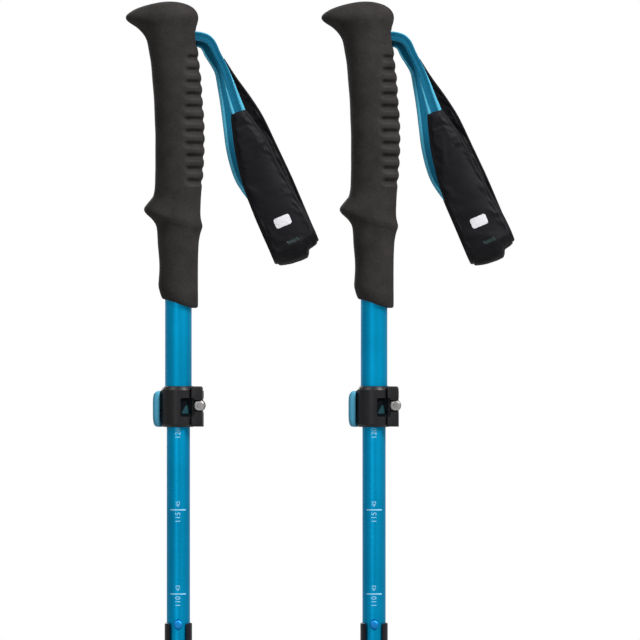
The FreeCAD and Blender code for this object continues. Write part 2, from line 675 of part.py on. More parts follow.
def strap_pad(prefix):
    """Padded sleeve: down in front, folded at the bottom, and up behind, tapering to its ends."""
    thick, wide = size("pad_thickness"), size("pad_width")
    front, back, fold = size("pad_front"), size("pad_back"), size("fold_start")
    stations = [(strap_point(down, across, -front), ACROSS_STRAP, BACKWARDS, width, thick)
                for down, across, width in PAD_FRONT_LAYER]
    middle, radius = (back - front) / 2, (front + back) / 2
    for turn in range(0, 181, FOLD_STEP):
        angle = math.radians(turn)
        along, through = math.sin(angle) * radius, math.cos(angle)
        stations.append((
            strap_point(fold + along * FOLD_DEPTH, -0.3, middle - radius * through), ACROSS_STRAP,
            BACKWARDS * through - DOWN_STRAP * math.sin(angle), wide, thick))
    for down, across, width in PAD_BACK_LAYER:
        stations.append((strap_point(down, across, back), ACROSS_STRAP, BACKWARDS * -1, width,
                         thick))
    down, across, through, width = PAD_TOP
    stations.append((strap_point(down, across, through), ACROSS_STRAP, BACKWARDS * -1, width,
                     thick / 2))
    return soft_piece(prefix + "strap_pad", ribbon(stations))


# --- the pair -------------------------------------------------------------------------------------

PIECES = (
    grip, grip_core, strap_pin, strap_neck, upper_shaft, clamp_collar, clamp_washer, lever_pin,
    clamp_lever, clamp_screw, strap_webbing, strap_tail, strap_pad, inner_shaft, shaft_guide,
    joint_sleeve, cord_carriage, push_button, button_spring, middle_shaft, middle_spigot,
    middle_cord, middle_sleeve, lower_shaft, lower_spigot, lower_cord, tip_body, carbide_tip,
    basket,
)


def stand_right(piece):
    """Move a piece to the right-hand pole, on top of the place that it is bound to."""
    bound = dict(piece.ExpressionEngine).get(".Placement.Base.x", "0")
    piece.setExpression(".Placement.Base.x", "(%s) + Sizes.pole_spacing" % bound)


nodes = []
for prefix in ("left_", "right_"):
    for build_piece in PIECES:
        piece = build_piece(prefix)
        piece.Label = prefix + build_piece.__name__
        if prefix == "right_":
            stand_right(piece)
        nodes.append(piece)
document.recompute()

for thing in document.Objects:
    if {"Invalid", "Error"} & set(thing.State):
        raise RuntimeError("%s failed: %s" % (thing.Label, thing.State))

os.makedirs("parts", exist_ok=True)
for piece in nodes:
    if piece.Shape.isNull() or not piece.Shape.isValid():
        raise RuntimeError("%s has no valid shape" % piece.Label)
    piece.Shape.exportStep("parts/%s.step" % piece.Label)
    print("%-24s %9.1f mm3" % (piece.Label, piece.Shape.Volume))
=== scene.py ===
"""Looks of a pair of folding trekking poles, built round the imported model.

Each pole is built in millimetres about its own axis, as the model is: +Z up the shaft, -X the front
of the grip and -Y the side that faces the camera.  A piece is moved to its pole when it is made.
"""
import math

import bmesh
import bpy
import numpy as np
from mathutils import Matrix, Quaternion, Vector


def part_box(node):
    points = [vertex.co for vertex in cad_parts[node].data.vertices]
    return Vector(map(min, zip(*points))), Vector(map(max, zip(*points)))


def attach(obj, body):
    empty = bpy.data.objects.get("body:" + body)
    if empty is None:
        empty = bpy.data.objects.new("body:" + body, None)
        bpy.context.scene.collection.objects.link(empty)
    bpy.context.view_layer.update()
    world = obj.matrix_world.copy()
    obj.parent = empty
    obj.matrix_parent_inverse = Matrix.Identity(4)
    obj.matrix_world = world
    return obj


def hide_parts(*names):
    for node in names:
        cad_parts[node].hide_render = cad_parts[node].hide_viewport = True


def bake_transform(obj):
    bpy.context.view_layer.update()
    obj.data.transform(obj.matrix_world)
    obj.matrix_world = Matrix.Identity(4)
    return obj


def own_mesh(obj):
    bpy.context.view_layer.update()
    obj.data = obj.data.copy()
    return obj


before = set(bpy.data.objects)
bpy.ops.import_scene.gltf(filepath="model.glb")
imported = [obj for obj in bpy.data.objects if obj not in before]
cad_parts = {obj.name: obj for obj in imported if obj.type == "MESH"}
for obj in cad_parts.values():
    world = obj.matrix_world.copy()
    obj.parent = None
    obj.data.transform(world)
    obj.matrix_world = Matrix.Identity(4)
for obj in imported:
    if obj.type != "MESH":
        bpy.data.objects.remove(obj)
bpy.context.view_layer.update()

MM = 0.001


# --- places and sizes from the frame, in millimetres ----------------------------------------------

def pole_offset(side):
    """Place of a pole's axis along X."""
    low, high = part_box(side + "_upper_shaft")
    return (low[0] + high[0]) / 2 / MM


def span(piece, axis=2):
    """Lowest and highest value of a piece along Z, or along Y: the poles differ only along X."""
    node = "left_" + piece
    low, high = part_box(node)
    return low[axis] / MM, high[axis] / MM


def radius_of(piece):
    """Half of a round piece's depth."""
    front, back = span(piece, 1)
    return (back - front) / 2


POLE_SPACING = pole_offset("right") - pole_offset("left")
UPPER_R, INNER_R = radius_of("upper_shaft"), radius_of("inner_shaft")
MIDDLE_R, LOWER_R = radius_of("middle_shaft"), radius_of("lower_shaft")
TUBE_WALL = 0.8
SCREW_X, SCREW_Z = 12.8, 956.9
BUTTON_Z = 825.6
UP = (0, 0, 1)
BACKWARD = (0, 1, 0)

# The strap hangs from its bend; DOWN and ACROSS are its own axes.
BEND = Vector((22.0, 0.0, 1166.0))
HANG = math.radians(67.0)
DOWN = Vector((math.cos(HANG), 0.0, -math.sin(HANG)))
ACROSS = Vector((math.sin(HANG), 0.0, math.cos(HANG)))


# --- mesh helpers ---------------------------------------------------------------------------------

SHARP = 40.0            # edges that turn by more degrees than this stay sharp
ROUND = 128             # sides of a turned piece
SAME_POINT = 2e-7       # metres within which two points are one
NO_LENGTH = 1e-7        # metres under which an edge is dropped
CORNER_SHARE = 0.48     # largest share of a side that a rounded corner takes


def linked(name, data):
    """A new object in the scene."""
    thing = bpy.data.objects.new(name, data)
    bpy.context.scene.collection.objects.link(thing)
    return thing


def shade(thing, sharp=SHARP):
    """Smooth faces with every edge over the angle kept sharp, and normals that point outwards."""
    work = bmesh.new()
    work.from_mesh(thing.data)
    bmesh.ops.recalc_face_normals(work, faces=work.faces)
    limit = math.radians(sharp)
    for face in work.faces:
        face.smooth = True
    for edge in work.edges:
        edge.smooth = len(edge.link_faces) == 2 and edge.calc_face_angle(0.0) < limit
    work.to_mesh(thing.data)
    work.free()


def clean(thing):
    """Merge points that coincide, drop faces with no area and shade the rest."""
    work = bmesh.new()
    work.from_mesh(thing.data)
    bmesh.ops.remove_doubles(work, verts=work.verts, dist=SAME_POINT)
    bmesh.ops.dissolve_degenerate(work, edges=work.edges, dist=NO_LENGTH)
    work.to_mesh(thing.data)
    work.free()
    shade(thing)


def new_object(name, vertices, faces, shift=0.0, sharp=SHARP):
    """A smooth-shaded object from vertices in millimetres, moved along X to its pole."""
    mesh = bpy.data.meshes.new(name)
    mesh.from_pydata([((x + shift) * MM, y * MM, z * MM) for x, y, z in vertices], [], faces)
    mesh.validate()
    thing = linked(name, mesh)
    shade(thing, sharp)
    return thing


def skinned(name, rings, shift=0.0, sharp=SHARP, wrapped=False):
    """An object through rings of equal count, with flat ends unless the last ring meets the first."""
    count, total = len(rings[0]), len(rings)
    faces = []
    for row in range(total if wrapped else total - 1):
        here, there = row * count, (row + 1) % total * count
        for spot in range(count):
            following = (spot + 1) % count
            faces.append((here + spot, here + following, there + following, there + spot))
    if not wrapped:
        last = (total - 1) * count
        faces.append(tuple(range(count))[::-1])
        faces.append(tuple(range(last, last + count)))
    return new_object(name, [point for ring in rings for point in ring], faces, shift, sharp)


def rounded(corners, steps=4):
    """An outline with rounded corners: a corner is (x, y), or (x, y, radius) to round it."""
    result = []
    for index, (x, y, *bend) in enumerate(corners):
        if not bend:
            result.append((x, y))
            continue
        here = Vector((x, y))
        before = Vector(corners[index - 1][:2]) - here
        after = Vector(corners[(index + 1) % len(corners)][:2]) - here
        half = before.angle(after) / 2
        reach = min(bend[0] / math.tan(half), before.length * CORNER_SHARE,
                    after.length * CORNER_SHARE)
        start, end = here + before.normalized() * reach, here + after.normalized() * reach
        for step in range(steps + 1):
            share = step / steps
            result.append(tuple((1 - share) ** 2 * start + 2 * share * (1 - share) * here
                                + share ** 2 * end))
    return result


def groove(radius, start, depth, slope, width, *bend):
    """Four corners of a groove round a turned piece, with sloping sides."""
    return [(radius, start, *bend), (radius - depth, start + slope, *bend),
            (radius - depth, start + slope + width, *bend),
            (radius, start + 2 * slope + width, *bend)]


def turned(profile, segments):
    """Copies of an outline of (radius, height), turned about the Z axis."""
    rings = []
    for step in range(segments):
        angle = math.tau * step / segments
        rings.append([(r * math.cos(angle), r * math.sin(angle), z) for r, z in profile])
    return rings


def lathe(name, profile, shift):
    """A solid turned about the pole's axis: its profile is (radius, height)."""
    thing = skinned(name, turned(profile, ROUND), shift, wrapped=True)
    clean(thing)
    return thing


def peg(name, base, direction, profile, segments=48):
    """A solid turned about any axis: its profile is (radius, distance along the direction)."""
    turn = Vector(UP).rotation_difference(Vector(direction)).to_matrix()
    rings = [[Vector(base) + turn @ Vector(point) for point in ring]
             for ring in turned(profile, segments)]
    thing = skinned(name, rings, wrapped=True)
    clean(thing)
    return thing


def rod(name, base, direction, radius, length, segments=48):
    """A plain cylinder."""
    return peg(name, base, direction, [(0, 0), (radius, 0), (radius, length), (0, length)], segments)


def solid_box(name, low, high, shift, bevel, segments=3, turn=None):
    """A box with bevelled edges, which may be turned about the pole's axis."""
    work = bmesh.new()
    bmesh.ops.create_cube(work, size=1.0)
    for vertex in work.verts:
        vertex.co = Vector([low[axis] + (vertex.co[axis] + 0.5) * (high[axis] - low[axis])
                            for axis in range(3)])
    bmesh.ops.bevel(work, geom=list(work.edges), offset=bevel, segments=segments, affect="EDGES",
                    profile=0.5)
    if turn:
        bmesh.ops.rotate(work, verts=work.verts, cent=(0, 0, 0), matrix=turn)
    for vertex in work.verts:
        vertex.co = (vertex.co + Vector((shift, 0, 0))) * MM
    mesh = bpy.data.meshes.new(name)
    work.to_mesh(mesh)
    work.free()
    thing = linked(name, mesh)
    shade(thing)
    return thing


def combine(thing, tool, operation="DIFFERENCE"):
    """Apply a boolean and remove its tool."""
    change = thing.modifiers.new("combine", "BOOLEAN")
    change.operation = operation
    change.solver = "EXACT"
    change.object = tool
    bpy.context.view_layer.update()
    graph = bpy.context.evaluated_depsgraph_get()
    mesh = bpy.data.meshes.new_from_object(thing.evaluated_get(graph))
    thing.modifiers.clear()
    old = thing.data
    thing.data = mesh
    bpy.data.meshes.remove(old)
    bpy.data.objects.remove(tool)
    clean(thing)


def thicken(thing, thickness):
    """Give a flat piece that thickness, half of it on each side."""
    change = thing.modifiers.new("thicken", "SOLIDIFY")
    change.thickness = thickness * MM
    change.offset = 0


def spline(rows, longest, places):
    """Catmull-Rom rows through control rows; a step is at most that long in the first columns."""
    data = np.array(rows, float)
    result = []
    for index in range(len(data) - 1):
        before = data[max(index - 1, 0)]
        start, end = data[index], data[index + 1]
        after = data[min(index + 2, len(data) - 1)]
        gap = float(np.linalg.norm((end - start)[:places]))
        steps = max(2, math.ceil(gap / longest))
        for step in range(steps):
            t = step / steps
            result.append(0.5 * (2 * start + (end - before) * t
                                 + (2 * before - 5 * start + 4 * end - after) * t ** 2
                                 + (3 * start - before - 3 * end + after) * t ** 3))
    result.append(data[-1])
    return result


def ease(low, high, value):
    """Smooth step from 0 to 1."""
    t = min(max((value - low) / (high - low), 0.0), 1.0)
    return t * t * (3 - 2 * t)


# --- materials ------------------------------------------------------------------------------------

class Paint:
    """A principled material and short ways to add nodes to it."""

    def __init__(self, name, **sockets):
        self.material = bpy.data.materials.new(name)
        self.material.use_nodes = True
        self.tree = self.material.node_tree
        self.shader = self.tree.nodes["Principled BSDF"]
        for socket, value in sockets.items():
            self.shader.inputs[socket.replace("_", " ")].default_value = value

    def node(self, kind, inputs=None, **settings):
        made = self.tree.nodes.new("ShaderNode" + kind)
        for word, value in settings.items():
            setattr(made, word, value)
        for word, value in (inputs or {}).items():
            self.put(made, word, value)
        return made

    def put(self, node, word, value):
        """Set a socket to a number, or link it to another node's socket."""
        if isinstance(value, bpy.types.NodeSocket):
            self.tree.links.new(value, node.inputs[word])
        else:
            node.inputs[word].default_value = value

    def maths(self, operation, *values):
        return self.node("Math", dict(enumerate(values)), operation=operation).outputs[0]

    def wave(self, value, rate):
        return self.maths("SINE", self.maths("MULTIPLY", value, rate))

    def weighted(self, first, second, share):
        """A share of the first value and the rest of the second."""
        return self.maths("ADD", self.maths("MULTIPLY", first, share),
                          self.maths("MULTIPLY", second, 1 - share))

    def noise(self, scale, detail=3.0, stretch=None, rough=0.5):
        """Noise over the object's own space; a stretch of more than 1 makes it finer that way."""
        place = self.node("TexCoord").outputs["Object"]
        if stretch:
            place = self.node("Mapping", {"Vector": place, "Scale": stretch}).outputs[0]
        return self.node("TexNoise", {"Vector": place, "Scale": scale, "Detail": detail,
                                      "Roughness": rough}).outputs["Fac"]

    def ramp(self, factor, *stops):
        """Two colours at positions along a factor."""
        made = self.node("ValToRGB", {"Fac": factor})
        for element, (place, colour) in zip(made.color_ramp.elements, stops):
            element.position = place
            element.color = (*colour, 1.0)
        return made.outputs["Color"]

    def mottled(self, factor, colour, amount, low=0.3, high=0.7):
        """A darker and a lighter version of a colour, spread over a factor."""
        dark = tuple(value * (1 - amount) for value in colour)
        light = tuple(min(value * (1 + amount), 1.0) for value in colour)
        return self.ramp(factor, (low, dark), (high, light))

    def mix(self, factor, first, second):
        """Two colours mixed; they are a Mix node's inputs 6 and 7, and its output 2."""
        return self.node("Mix", {0: factor, 6: first, 7: second}, data_type="RGBA").outputs[2]

    def spread(self, factor, low, high, start=0.0, end=1.0):
        """Low to high, as the factor runs from start to end."""
        return self.node("MapRange", {"Value": factor, "From Min": start, "From Max": end,
                                      "To Min": low, "To Max": high}).outputs[0]

    def base(self, colour):
        self.put(self.shader, "Base Color", colour)

    def rough(self, value):
        self.put(self.shader, "Roughness", value)

    def bump(self, height, distance, strength=1.0):
        """Bump of that height in metres, on top of any bump already there."""
        below = self.shader.inputs["Normal"]
        inputs = {"Height": height, "Distance": distance, "Strength": strength}
        if below.is_linked:
            inputs["Normal"] = below.links[0].from_socket
        self.put(self.shader, "Normal", self.node("Bump", inputs).outputs[0])

    def worn(self, colour, share):
        """A colour made lighter along the mesh's outer edges."""
        pointiness = self.node("NewGeometry").outputs["Pointiness"]
        return self.mix(self.spread(pointiness, 0.0, share, 0.51, 0.53), colour,
                        (0.16, 0.16, 0.16, 1.0))

    def surface(self):
        """Distance across and along a band, in millimetres, from its UV map."""
        place = self.node("UVMap", uv_map="band").outputs[0]
        parts = self.node("SeparateXYZ", {"Vector": place})
        return parts.outputs[0], parts.outputs[1]


def anodised(name, colour, roughness):
    """Dyed aluminium tube: fine drawing lines along it and faint unevenness of the dye."""
    paint = Paint(name, Metallic=0.8, Specular_IOR_Level=0.1)
    paint.base(paint.mottled(paint.noise(38.0), colour, 0.09))
    lines = paint.noise(900.0, 2.0, (1.0, 1.0, 0.012))
    smears = paint.noise(70.0, 4.0, (1.0, 1.0, 0.35))
    paint.rough(paint.spread(paint.weighted(lines, smears, 0.6), roughness - 0.09,
                             roughness + 0.12))
    paint.bump(lines, 0.00001, 0.35)
    return paint.material


def moulded_rubber(name, colour):
    """Matt moulded foam rubber with a fine open grain."""
    paint = Paint(name, Specular_IOR_Level=0.08)
    grain = paint.noise(1100.0, 4.0, rough=0.65)
    mixed = paint.weighted(grain, paint.noise(90.0, 4.0), 0.55)
    paint.base(paint.worn(paint.mottled(mixed, colour, 0.28, 0.38, 0.62), 0.07))
    paint.rough(paint.spread(grain, 0.68, 0.9))
    cells = paint.node("TexVoronoi", {
        "Vector": paint.node("TexCoord").outputs["Object"], "Scale": 1700.0})
    paint.bump(cells.outputs["Distance"], 0.00006, 0.5)
    paint.bump(grain, 0.00005, 0.5)
    return paint.material


def moulded_plastic(name, colour, roughness=0.42, level=0.2, grain_depth=0.00002):
    """Satin moulded plastic with a spark-eroded grain and a few handling marks."""
    paint = Paint(name, Specular_IOR_Level=level)
    marks = paint.noise(120.0, 6.0, (1.0, 1.0, 0.4), 0.7)
    paint.base(paint.mottled(marks, colour, 0.14, 0.35))
    paint.rough(paint.spread(marks, roughness - 0.08, roughness + 0.14))
    paint.bump(paint.noise(2600.0), grain_depth, 0.5)
    return paint.material


def turned_metal(name, colour, roughness):
    """Bright turned or ground metal."""
    paint = Paint(name, Metallic=1.0)
    lines = paint.noise(1400.0, 2.0, (0.15, 1.0, 1.0))
    paint.base(paint.mottled(paint.noise(160.0, 4.0), colour, 0.12))
    paint.rough(paint.spread(lines, roughness - 0.08, roughness + 0.14))
    paint.bump(lines, 0.000008, 0.4)
    return paint.material


def woven(name, body, edge, width, selvedge_and_highlight_width):
    """Narrow webbing: warp ribs along it, picks across it and lighter edges, whose colour is partly
    the selvedges' own and partly a painted highlight along the edges.
    """
    paint = Paint(name, Sheen_Weight=0.06, Sheen_Roughness=0.4, Specular_IOR_Level=0.12)
    rib, pick = 0.85, 0.95
    across, along = paint.surface()
    ribs = paint.maths("ABSOLUTE", paint.wave(across, math.pi / rib))
    rib_number = paint.maths("FLOOR", paint.maths("DIVIDE", across, rib))
    shifted = paint.maths("ADD", along, paint.maths("MULTIPLY", rib_number, pick / 2))
    picks = paint.maths("ABSOLUTE", paint.wave(shifted, math.pi / pick))
    relief = paint.maths("ADD", paint.maths("MULTIPLY", picks, 0.7), 0.3)
    height = paint.maths("MULTIPLY", ribs, relief)
    thread = paint.weighted(height, paint.noise(300.0), 0.65)
    inner = width / 2 - selvedge_and_highlight_width
    at_selvedge_and_highlight = paint.spread(paint.maths("ABSOLUTE", across), 0.0, 1.0, inner - 0.25, inner + 0.15)
    # Lighter colour at the edges: selvedge colour and painted highlight together.
    paint.base(paint.mix(at_selvedge_and_highlight, paint.mottled(thread, body, 0.3, 0.1, 0.75),
                         paint.mottled(thread, edge, 0.2, 0.1, 0.75)))
    paint.rough(paint.spread(height, 0.85, 0.6))
    paint.bump(height, 0.00018, 0.8)
    return paint.material


def pad_cloth(name, colour):
    """Close plain-woven nylon over foam."""
    paint = Paint(name, Sheen_Weight=0.03, Sheen_Roughness=0.4, Specular_IOR_Level=0.11)
    pitch = 0.62
    warp, weft = (paint.wave(place, math.tau / pitch) for place in paint.surface())
    weave = paint.maths("MULTIPLY", warp, weft)
    folds = paint.noise(70.0, 3.0, (1.0, 1.0, 1.6))
    tone = paint.maths("ADD", paint.maths("MULTIPLY", weave, 0.12), folds)
    paint.base(paint.mottled(tone, colour, 0.35))
    paint.rough(paint.spread(folds, 0.48, 0.68))
    paint.bump(weave, 0.00004, 0.35)
    paint.bump(folds, 0.0012, 0.35)
    return paint.material


def braid(name, colour, fleck):
    """Braided cord: two sets of strands that wind opposite ways."""
    paint = Paint(name, Sheen_Weight=0.3, Specular_IOR_Level=0.3)
    place = paint.node("SeparateXYZ", {"Vector": paint.node("TexCoord").outputs["Object"]})
    rate = 4200.0
    one, two = (paint.wave(paint.maths(way, place.outputs[2], place.outputs[1]), rate)
                for way in ("ADD", "SUBTRACT"))
    weave = paint.maths("MAXIMUM", one, two)
    paint.base(paint.ramp(weave, (0.35, fleck), (0.6, colour)))
    paint.rough(0.8)
    paint.bump(weave, 0.00012, 0.8)
    return paint.material


def ink(name, colour):
    """Printed marks, slightly worn."""
    paint = Paint(name)
    wear = paint.noise(900.0, 4.0)
    paint.base(paint.mottled(wear, colour, 0.1, 0.3, 0.6))
    paint.rough(paint.spread(wear, 0.4, 0.6))
    return paint.material


LOOKS = {name: make(name + "_look", *values) for name, make, *values in (
    ("grip_rubber", moulded_rubber, (0.0255, 0.0238, 0.023)),
    ("core_plastic", moulded_plastic, (0.03, 0.03, 0.032)),
    ("steel", turned_metal, (0.36, 0.35, 0.345), 0.34),
    # The webbing's edge colour is partly selvedge colour and partly painted highlight.
    ("webbing", woven, (0.001, 0.095, 0.175), (0.07, 0.36, 0.52), 8.5, 1.9),
    ("pad_fabric", pad_cloth, (0.0048, 0.0046, 0.0062)),
    ("shaft_blue", anodised, (0.0008, 0.285, 0.53), 0.42),
    ("shaft_inner", anodised, (0.0008, 0.265, 0.50), 0.40),
    ("clamp_plastic", moulded_plastic, (0.0115, 0.011, 0.0125), 0.34),
    ("lever_plastic", moulded_plastic, (0.06, 0.28, 0.42), 0.36),
    ("joint_plastic", moulded_plastic, (0.0045, 0.005, 0.0085), 0.36),
    ("button_metal", anodised, (0.012, 0.2, 0.52), 0.5),
    ("cord", braid, (0.55, 0.54, 0.50), (0.02, 0.12, 0.2)),
    ("tip_plastic", moulded_plastic, (0.012, 0.012, 0.013), 0.46, 0.2, 0.00003),
    ("carbide", turned_metal, (0.30, 0.30, 0.32), 0.34),
    # Near-black look for the collar's recess: painted shade in the hollow.
    ("recess", moulded_plastic, (0.0012, 0.0028, 0.0045), 0.5, 0.06),
    # Dark teal sheet behind the collar's window: painted shade over the shaft seen through it.
    ("pane", moulded_plastic, (0.012, 0.05, 0.062), 0.3),
    ("ink", ink, (0.26, 0.56, 0.78)),
    ("badge", ink, (0.62, 0.62, 0.66)),
    ("thread", ink, (0.02, 0.045, 0.045)),
)}


def finish_piece(thing, body, slot, nodes=(), look=None):
    """Give a piece its look, named by its slot unless another is given, put it on its body and hide
    the nodes that it stands for.
    """
    thing.data.materials.clear()
    thing.data.materials.append(LOOKS[look or slot])
    if body:
        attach(thing, body)
    if nodes:
        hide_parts(*nodes)


# --- grip -----------------------------------------------------------------------------------------

# Each ring leans: height and reach at the front, height and reach at the back, half-width.
GRIP_RINGS = [
    (1020.9, 8.5, 1015.6, 10.3, 8.9), (1021.2, 9.5, 1015.9, 11.4, 9.9),
    (1022.6, 10.3, 1017.0, 11.8, 10.5), (1025.3, 11.2, 1019.6, 11.85, 11.0),
    (1028.9, 12.0, 1023.3, 11.85, 11.3), (1033.0, 11.8, 1027.5, 11.8, 11.1),
    (1038.0, 11.5, 1032.2, 11.8, 11.0), (1043.0, 11.5, 1037.3, 11.8, 11.0),
    (1048.5, 11.9, 1042.7, 11.85, 11.1), (1054.0, 12.4, 1048.0, 11.95, 11.3),
    (1061.4, 12.8, 1054.8, 12.3, 11.5), (1065.3, 13.5, 1058.2, 12.8, 11.8),
    (1068.4, 15.4, 1060.9, 13.4, 12.2), (1070.5, 17.5, 1062.6, 14.0, 12.7),
    (1072.3, 19.4, 1063.9, 14.4, 13.0), (1073.9, 20.5, 1065.1, 14.5, 13.2),
    (1075.6, 20.6, 1066.3, 14.3, 13.2), (1077.3, 19.6, 1067.8, 13.9, 13.1),
    (1079.4, 17.9, 1070.2, 13.45, 12.9), (1081.2, 16.4, 1073.3, 13.3, 12.75),
    (1083.0, 15.2, 1077.0, 13.4, 12.6), (1086.6, 14.4, 1082.6, 13.65, 12.5),
    (1090.5, 14.1, 1087.8, 14.1, 12.6), (1095.0, 14.0, 1094.0, 14.9, 12.8),
    (1100.0, 13.9, 1100.0, 15.3, 13.0), (1110.0, 13.9, 1110.0, 15.8, 13.2),
    (1120.0, 13.9, 1120.0, 15.9, 13.2), (1130.0, 14.3, 1130.0, 15.6, 13.1),
    (1140.8, 14.7, 1140.8, 14.7, 12.9), (1151.6, 15.6, 1151.6, 14.1, 12.7),
    (1162.4, 16.5, 1162.4, 12.8, 12.4), (1169.6, 17.7, 1169.6, 12.0, 12.2),
    (1173.2, 18.3, 1173.2, 11.2, 12.1), (1176.8, 19.2, 1176.8, 10.8, 12.15),
    (1180.5, 21.3, 1180.5, 10.5, 12.3), (1184.1, 24.8, 1184.1, 10.7, 12.6),
    (1186.9, 29.0, 1186.9, 11.5, 13.1), (1188.6, 31.0, 1188.8, 11.9, 13.4),
    (1190.3, 31.7, 1190.8, 12.0, 13.4), (1192.0, 30.9, 1192.8, 11.5, 13.1),
    (1193.7, 28.8, 1194.8, 10.3, 12.4), (1195.5, 25.6, 1196.4, 8.6, 11.3),
    (1197.2, 21.0, 1197.9, 6.0, 9.5), (1198.6, 15.8, 1199.0, 2.8, 7.0),
    (1199.5, 11.2, 1199.7, -0.6, 4.2), (1199.9, 8.0, 1199.95, -3.6, 1.6),
]
GRIP_POINTS, GRIP_SQUARENESS = 144, 0.88
RIB_FIRST, RIB_PITCH, RIB_COUNT = 1091.5, 7.41, 11
RIB_DEPTH, RIB_HALF, RIB_STEEPNESS = 2.1, 1.75, 2.4
RIB_START, RIB_NARROWING, PALM_SHARE = 3.4, 1.7, 0.62


def rib_depth(height, x, y):
    """How far the grooves across the back press in: less along its middle, none past their ends."""
    number = round((height - RIB_FIRST) / RIB_PITCH)
    number = min(max(number, 0), RIB_COUNT - 1)
    away = abs(height - RIB_FIRST - number * RIB_PITCH) / RIB_HALF
    reach = RIB_START + RIB_NARROWING * abs(number - (RIB_COUNT - 1) / 2) / (RIB_COUNT / 2)
    shallow = 1 - PALM_SHARE * (1 - ease(2.0, 8.0, abs(y))) * ease(9.0, 13.0, x)
    fade = ease(reach - 1.2, reach + 3.2, x)
    return RIB_DEPTH * shallow * math.exp(-away ** RIB_STEEPNESS) * fade


def grip(side, shift):
    """Handle with its ribs, its bore and the slot that the strap comes out of."""
    rings = []
    for zf, front, zb, back, half in spline(GRIP_RINGS, 0.5, 1):
        ring = []
        middle, reach = (back - front) / 2, (back + front) / 2
        for step in range(GRIP_POINTS):
            angle = math.tau * step / GRIP_POINTS
            c, s = math.cos(angle), math.sin(angle)
            x = middle + reach * math.copysign(abs(c) ** GRIP_SQUARENESS, c)
            y = half * math.copysign(abs(s) ** GRIP_SQUARENESS, s)
            z = zb + (zf - zb) * (back - x) / max(back + front, 1e-6)
            press = rib_depth(z, x, y)
            away = Vector((x - middle, y * reach / half, 0)).normalized()
            ring.append((x - away.x * press, y - away.y * press, z))
        rings.append(ring)
    bore, chamfer, depth = UPPER_R + 0.05, 0.35, 12.0
    inside = []
    for radius, rise in ((bore, depth), (bore, chamfer), (bore + chamfer, 0.0)):
        circle = [points[0] for points in turned([(radius, rise)], GRIP_POINTS)]
        inside.append([(x, y, edge[2] + z) for (x, y, z), edge in zip(circle, rings[0])])
    thing = skinned(side + "_grip_skin", inside + rings, shift)
    combine(thing, solid_box("slot_tool", (1.5, -3.4, 1172.3), (16.0, 3.4, 1182.7), shift, 1.2))
    finish_piece(thing, side + "_grip_body", "grip_rubber", [side + "_grip"])


# --- tubes and joints -----------------------------------------------------------------------------

def tube(side, shift, body, node, look, radius, hole=None):
    """An anodised tube with broken edges; a hole is (height, radius) in its front."""
    bottom, top = span(node)
    bore = radius - TUBE_WALL
    profile = [(bore, bottom, 0.2), (radius, bottom, 0.3), (radius, top, 0.3), (bore, top, 0.2)]
    thing = lathe(side + "_" + node + "_tube", rounded(profile), shift)
    if hole:
        height, size = hole
        combine(thing, peg("hole_tool", (shift, -radius - 2, height), BACKWARD, [
            (0, 0), (size + 0.5, 0), (size + 0.5, 1.85), (size, 2.5), (size, 6.0), (0, 6.0)]))
    finish_piece(thing, body, look, [side + "_" + node])


def turned_piece(side, shift, body, node, slot, corners, name):
    """A piece turned from rounded corners, in place of a node."""
    thing = lathe(side + "_" + name, rounded(corners), shift)
    finish_piece(thing, body, slot, [side + "_" + node])


def joint_sleeve(side, shift):
    """Sleeve with a chamfered mouth, two grooves and a notch for the thumb."""
    bottom, top = span("joint_sleeve")
    radius, bore, seat = 8.25, 6.6, INNER_R + 0.03
    seat_bottom = 788.0
    profile = [(bore, bottom + 1.2, 0.2), (bore + 0.5, bottom, 0.2), (radius, bottom, 0.7),
               *groove(radius, bottom + 5, 0.25, 0.3, 1.0, 0.1),
               *groove(radius, bottom + 8.6, 0.25, 0.3, 1.0, 0.1),
               (radius, top, 0.6), (seat, top, 0.2), (seat, seat_bottom), (bore, seat_bottom)]
    thing = lathe(side + "_joint_sleeve_shell", rounded(profile), shift)
    half, base = 5.0, 811.0
    flare = [(half, top - 0.7), (half + 0.25, top + 0.2), (half + 0.5, top + 3)]
    outline = [(-x, z) for x, z in flare[::-1]]
    for step in range(25):
        angle = math.pi * (1 + step / 24)
        outline.append((half * math.cos(angle), base + half * math.sin(angle)))
    outline += flare
    rings = [[(x * grow, y, z) for x, z in outline]
             for y, grow in ((-12.0, 1.35), (-8.4, 1.07), (-7.9, 1.0), (0.0, 1.0))]
    combine(thing, skinned("notch_tool", rings, shift))
    finish_piece(thing, side + "_inner", "joint_plastic", [side + "_joint_sleeve"])


def push_button(side, shift):
    """Stepped button: its flange stays inside the tube."""
    profile = rounded([(0, 0), (3.3, 0, 0.15), (3.3, 0.8, 0.15), (2.6, 0.8, 0.1), (2.6, 4.1, 0.5),
                       (1.5, 4.6, 0.6), (0, 4.6)])
    thing = peg(side + "_push_button_cap", (shift, -4.3, BUTTON_Z), (0, -1, 0), profile)
    finish_piece(thing, side + "_button", "button_metal", [side + "_push_button"])


def button_spring(side, shift):
    """Bowed leaf behind the button; on the real pole it flattens as the button is pressed."""
    foot, crown, half_span, thickness, half_width = -1.95, -4.25, 3.0, 0.3, 1.2
    half_turn, half_steps = math.radians(72), 16
    rise = foot - crown
    radius = (half_span ** 2 + rise ** 2) / (2 * rise)
    section = rounded([(x, reach, 0.08) for x, reach in (
        (-half_width, radius), (half_width, radius), (half_width, radius - thickness),
        (-half_width, radius - thickness))], 2)
    rings = []
    for step in range(2 * half_steps + 1):
        angle = half_turn * (step / half_steps - 1)
        rings.append([(x, crown + radius - reach * math.cos(angle),
                       BUTTON_Z + reach * math.sin(angle)) for x, reach in section])
    thing = skinned(side + "_button_leaf", rings, shift)
    clean(thing)
    finish_piece(thing, side + "_inner", "steel", [side + "_button_spring"])
    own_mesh(thing)


